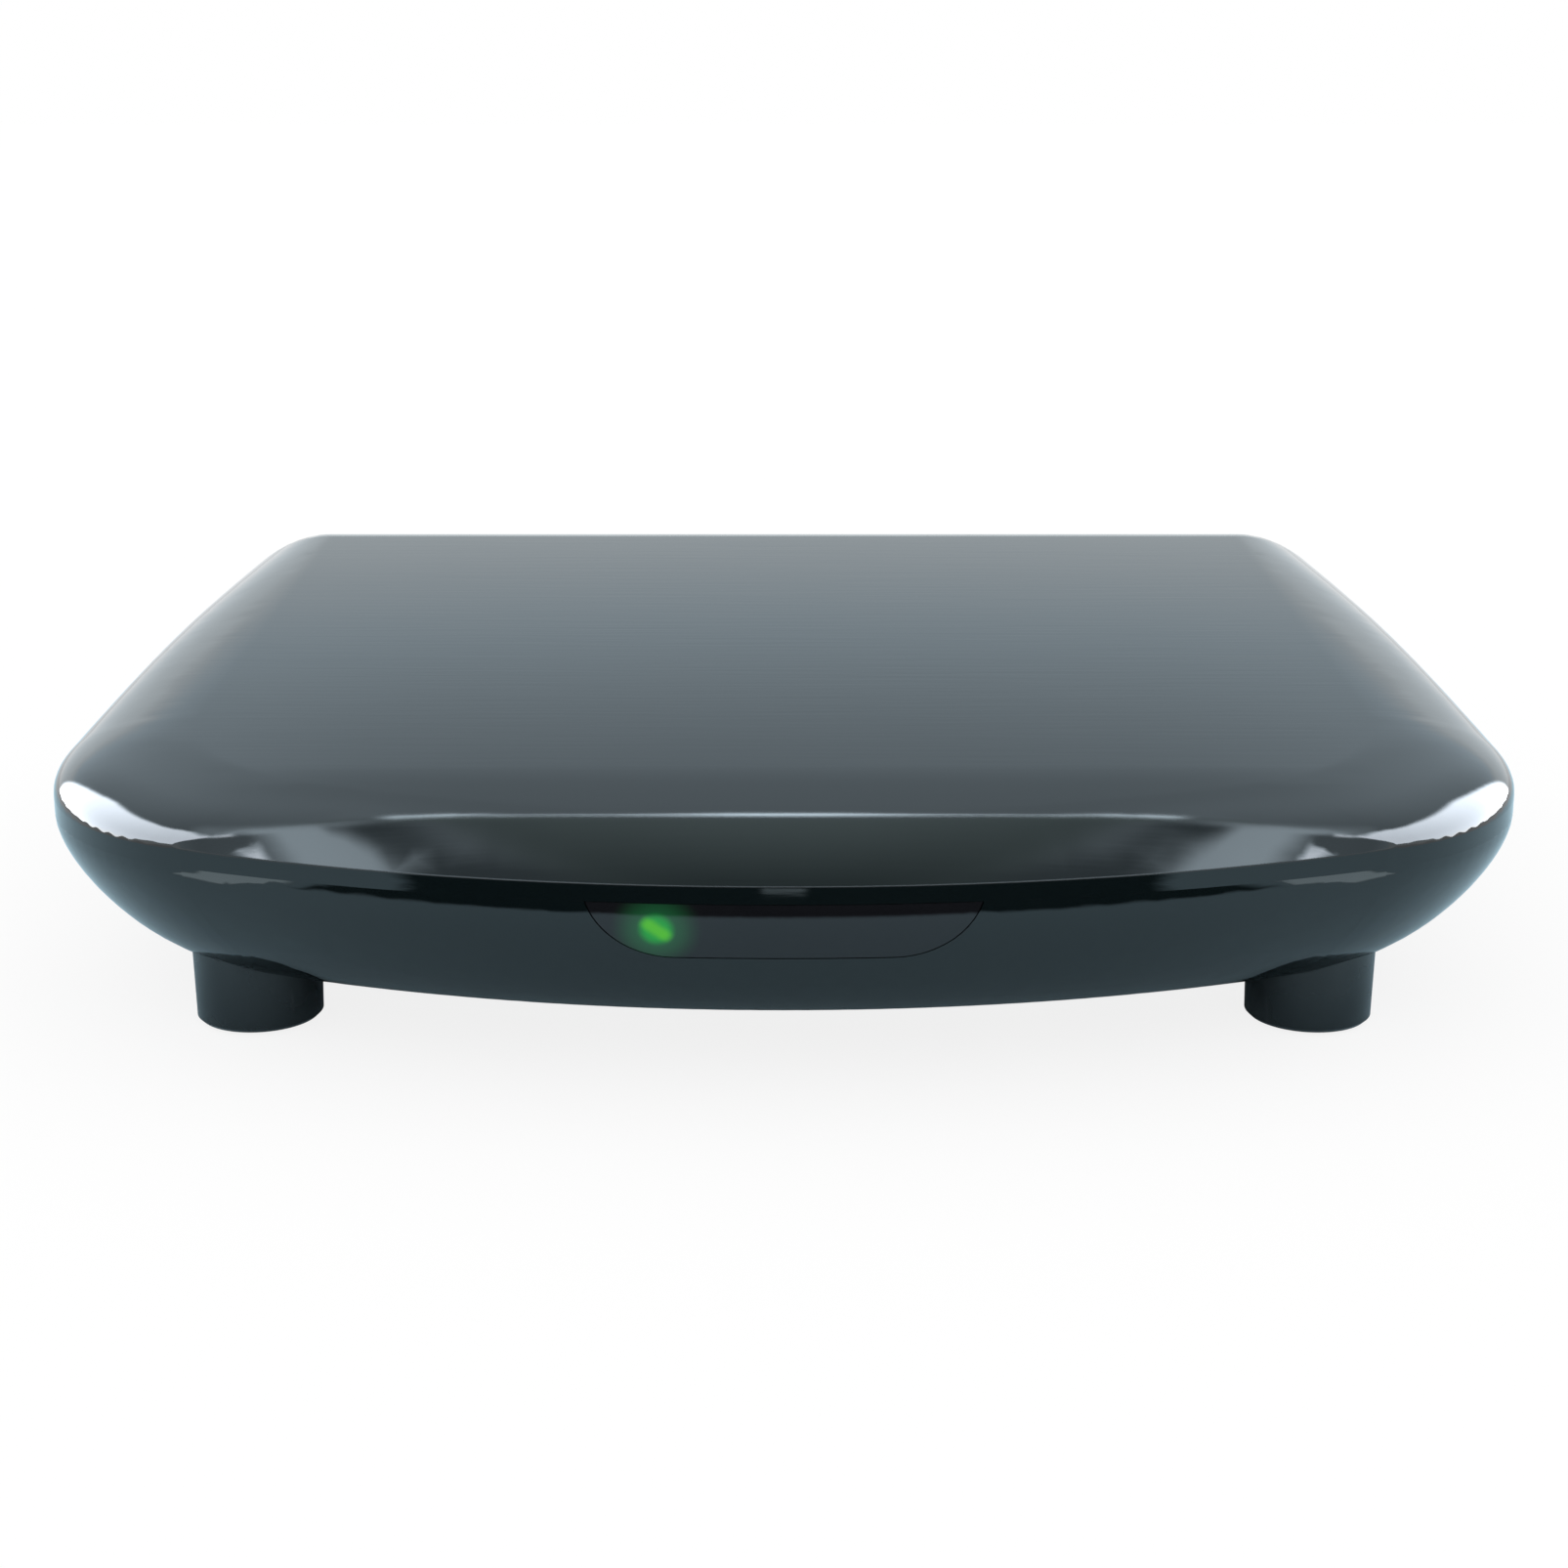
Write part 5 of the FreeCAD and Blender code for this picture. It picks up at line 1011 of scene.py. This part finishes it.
# Where a ray goes: degrees above the horizon, and degrees round to either side from straight behind.
ray = Wire(tree, tree.nodes.new("ShaderNodeTexCoord").outputs["Generated"])
to_right, to_back, to_top = ray.split()
up = ray.math("ARCSINE", to_top) * DEGREES
round_about = ray.math("ARCTAN2", to_right.unsigned(), to_back) * DEGREES
# The wall of light behind, brighter at its foot and to the sides and darker in the middle, and the dark
# ceiling over it.
wall_foot = up.between(16.0, 19.0, 0.16, 0.0)
wall_sides = round_about.between(14.0, 30.0) * 0.3 * up.fading(18.0, 34.0, 0.15)
wall = WALL_GLOW + wall_foot + wall_sides
shade = round_about.between(7.0, 26.0, 0.52, 0.1) * (up.between(17.0, 24.0) * up.fading(30.0, 48.0, 0.3))
ceiling = up.between(61.0, 80.0) * 0.75 * round_about.fading(90.0, 120.0)
# The bar, whose lower edge climbs to either side; the panels, cut slanting at foot and head; and a band of
# light high up, which grows towards the front.
bar_foot = round_about * 0.8 + 36.0
bar = (up - bar_foot).between(0.0, 2.0) * up.fading(52.0, 54.5) * round_about.fading(17.0, 22.0)
panel_foot = (round_about - 88.0).at_least(0.0) * 0.75 - 4.0
panel_head = (round_about * 0.58 + 12.6).at_most(57.0)
panel = round_about.within(40.0, 43.0, 117.0, 122.0)
panel = panel * (up - panel_foot).between(-1.0, 1.0) * (up - panel_head).fading(-1.0, 2.0)
side_light = round_about.between(20.0, 95.0) * up.within(55.0, 66.0, 72.0, 75.0)
room = wall - shade - ceiling + bar * BAR_GLOW + side_light * SIDE_GLOW + panel * PANEL_GLOW
# Only the gloss sees the room. The camera sees plain white, and the other light is even.
glossy = ray.out("Is Glossy Ray", "ShaderNodeLightPath")
plain = 1.15 + ray.out("Is Camera Ray", "ShaderNodeLightPath") * -0.15
strength = plain + glossy * (room - plain)
cool = up.between(17.6, 20.5).tint((0.9, 0.995, 1.05), (0.82, 0.99, 1.11))
high_behind = up.between(54.0, 62.0) * round_about.fading(20.0, 45.0)
cool = high_behind.tint(cool, (0.79, 1.0, 1.03))
cool = panel.tint(cool, (0.9, 0.99, 1.1))
cool = (glossy * up.between(-6.0, 10.0)).tint((1.0, 1.0, 1.0), cool)
feed(tree.nodes["Background"], Strength=strength, Color=cool)
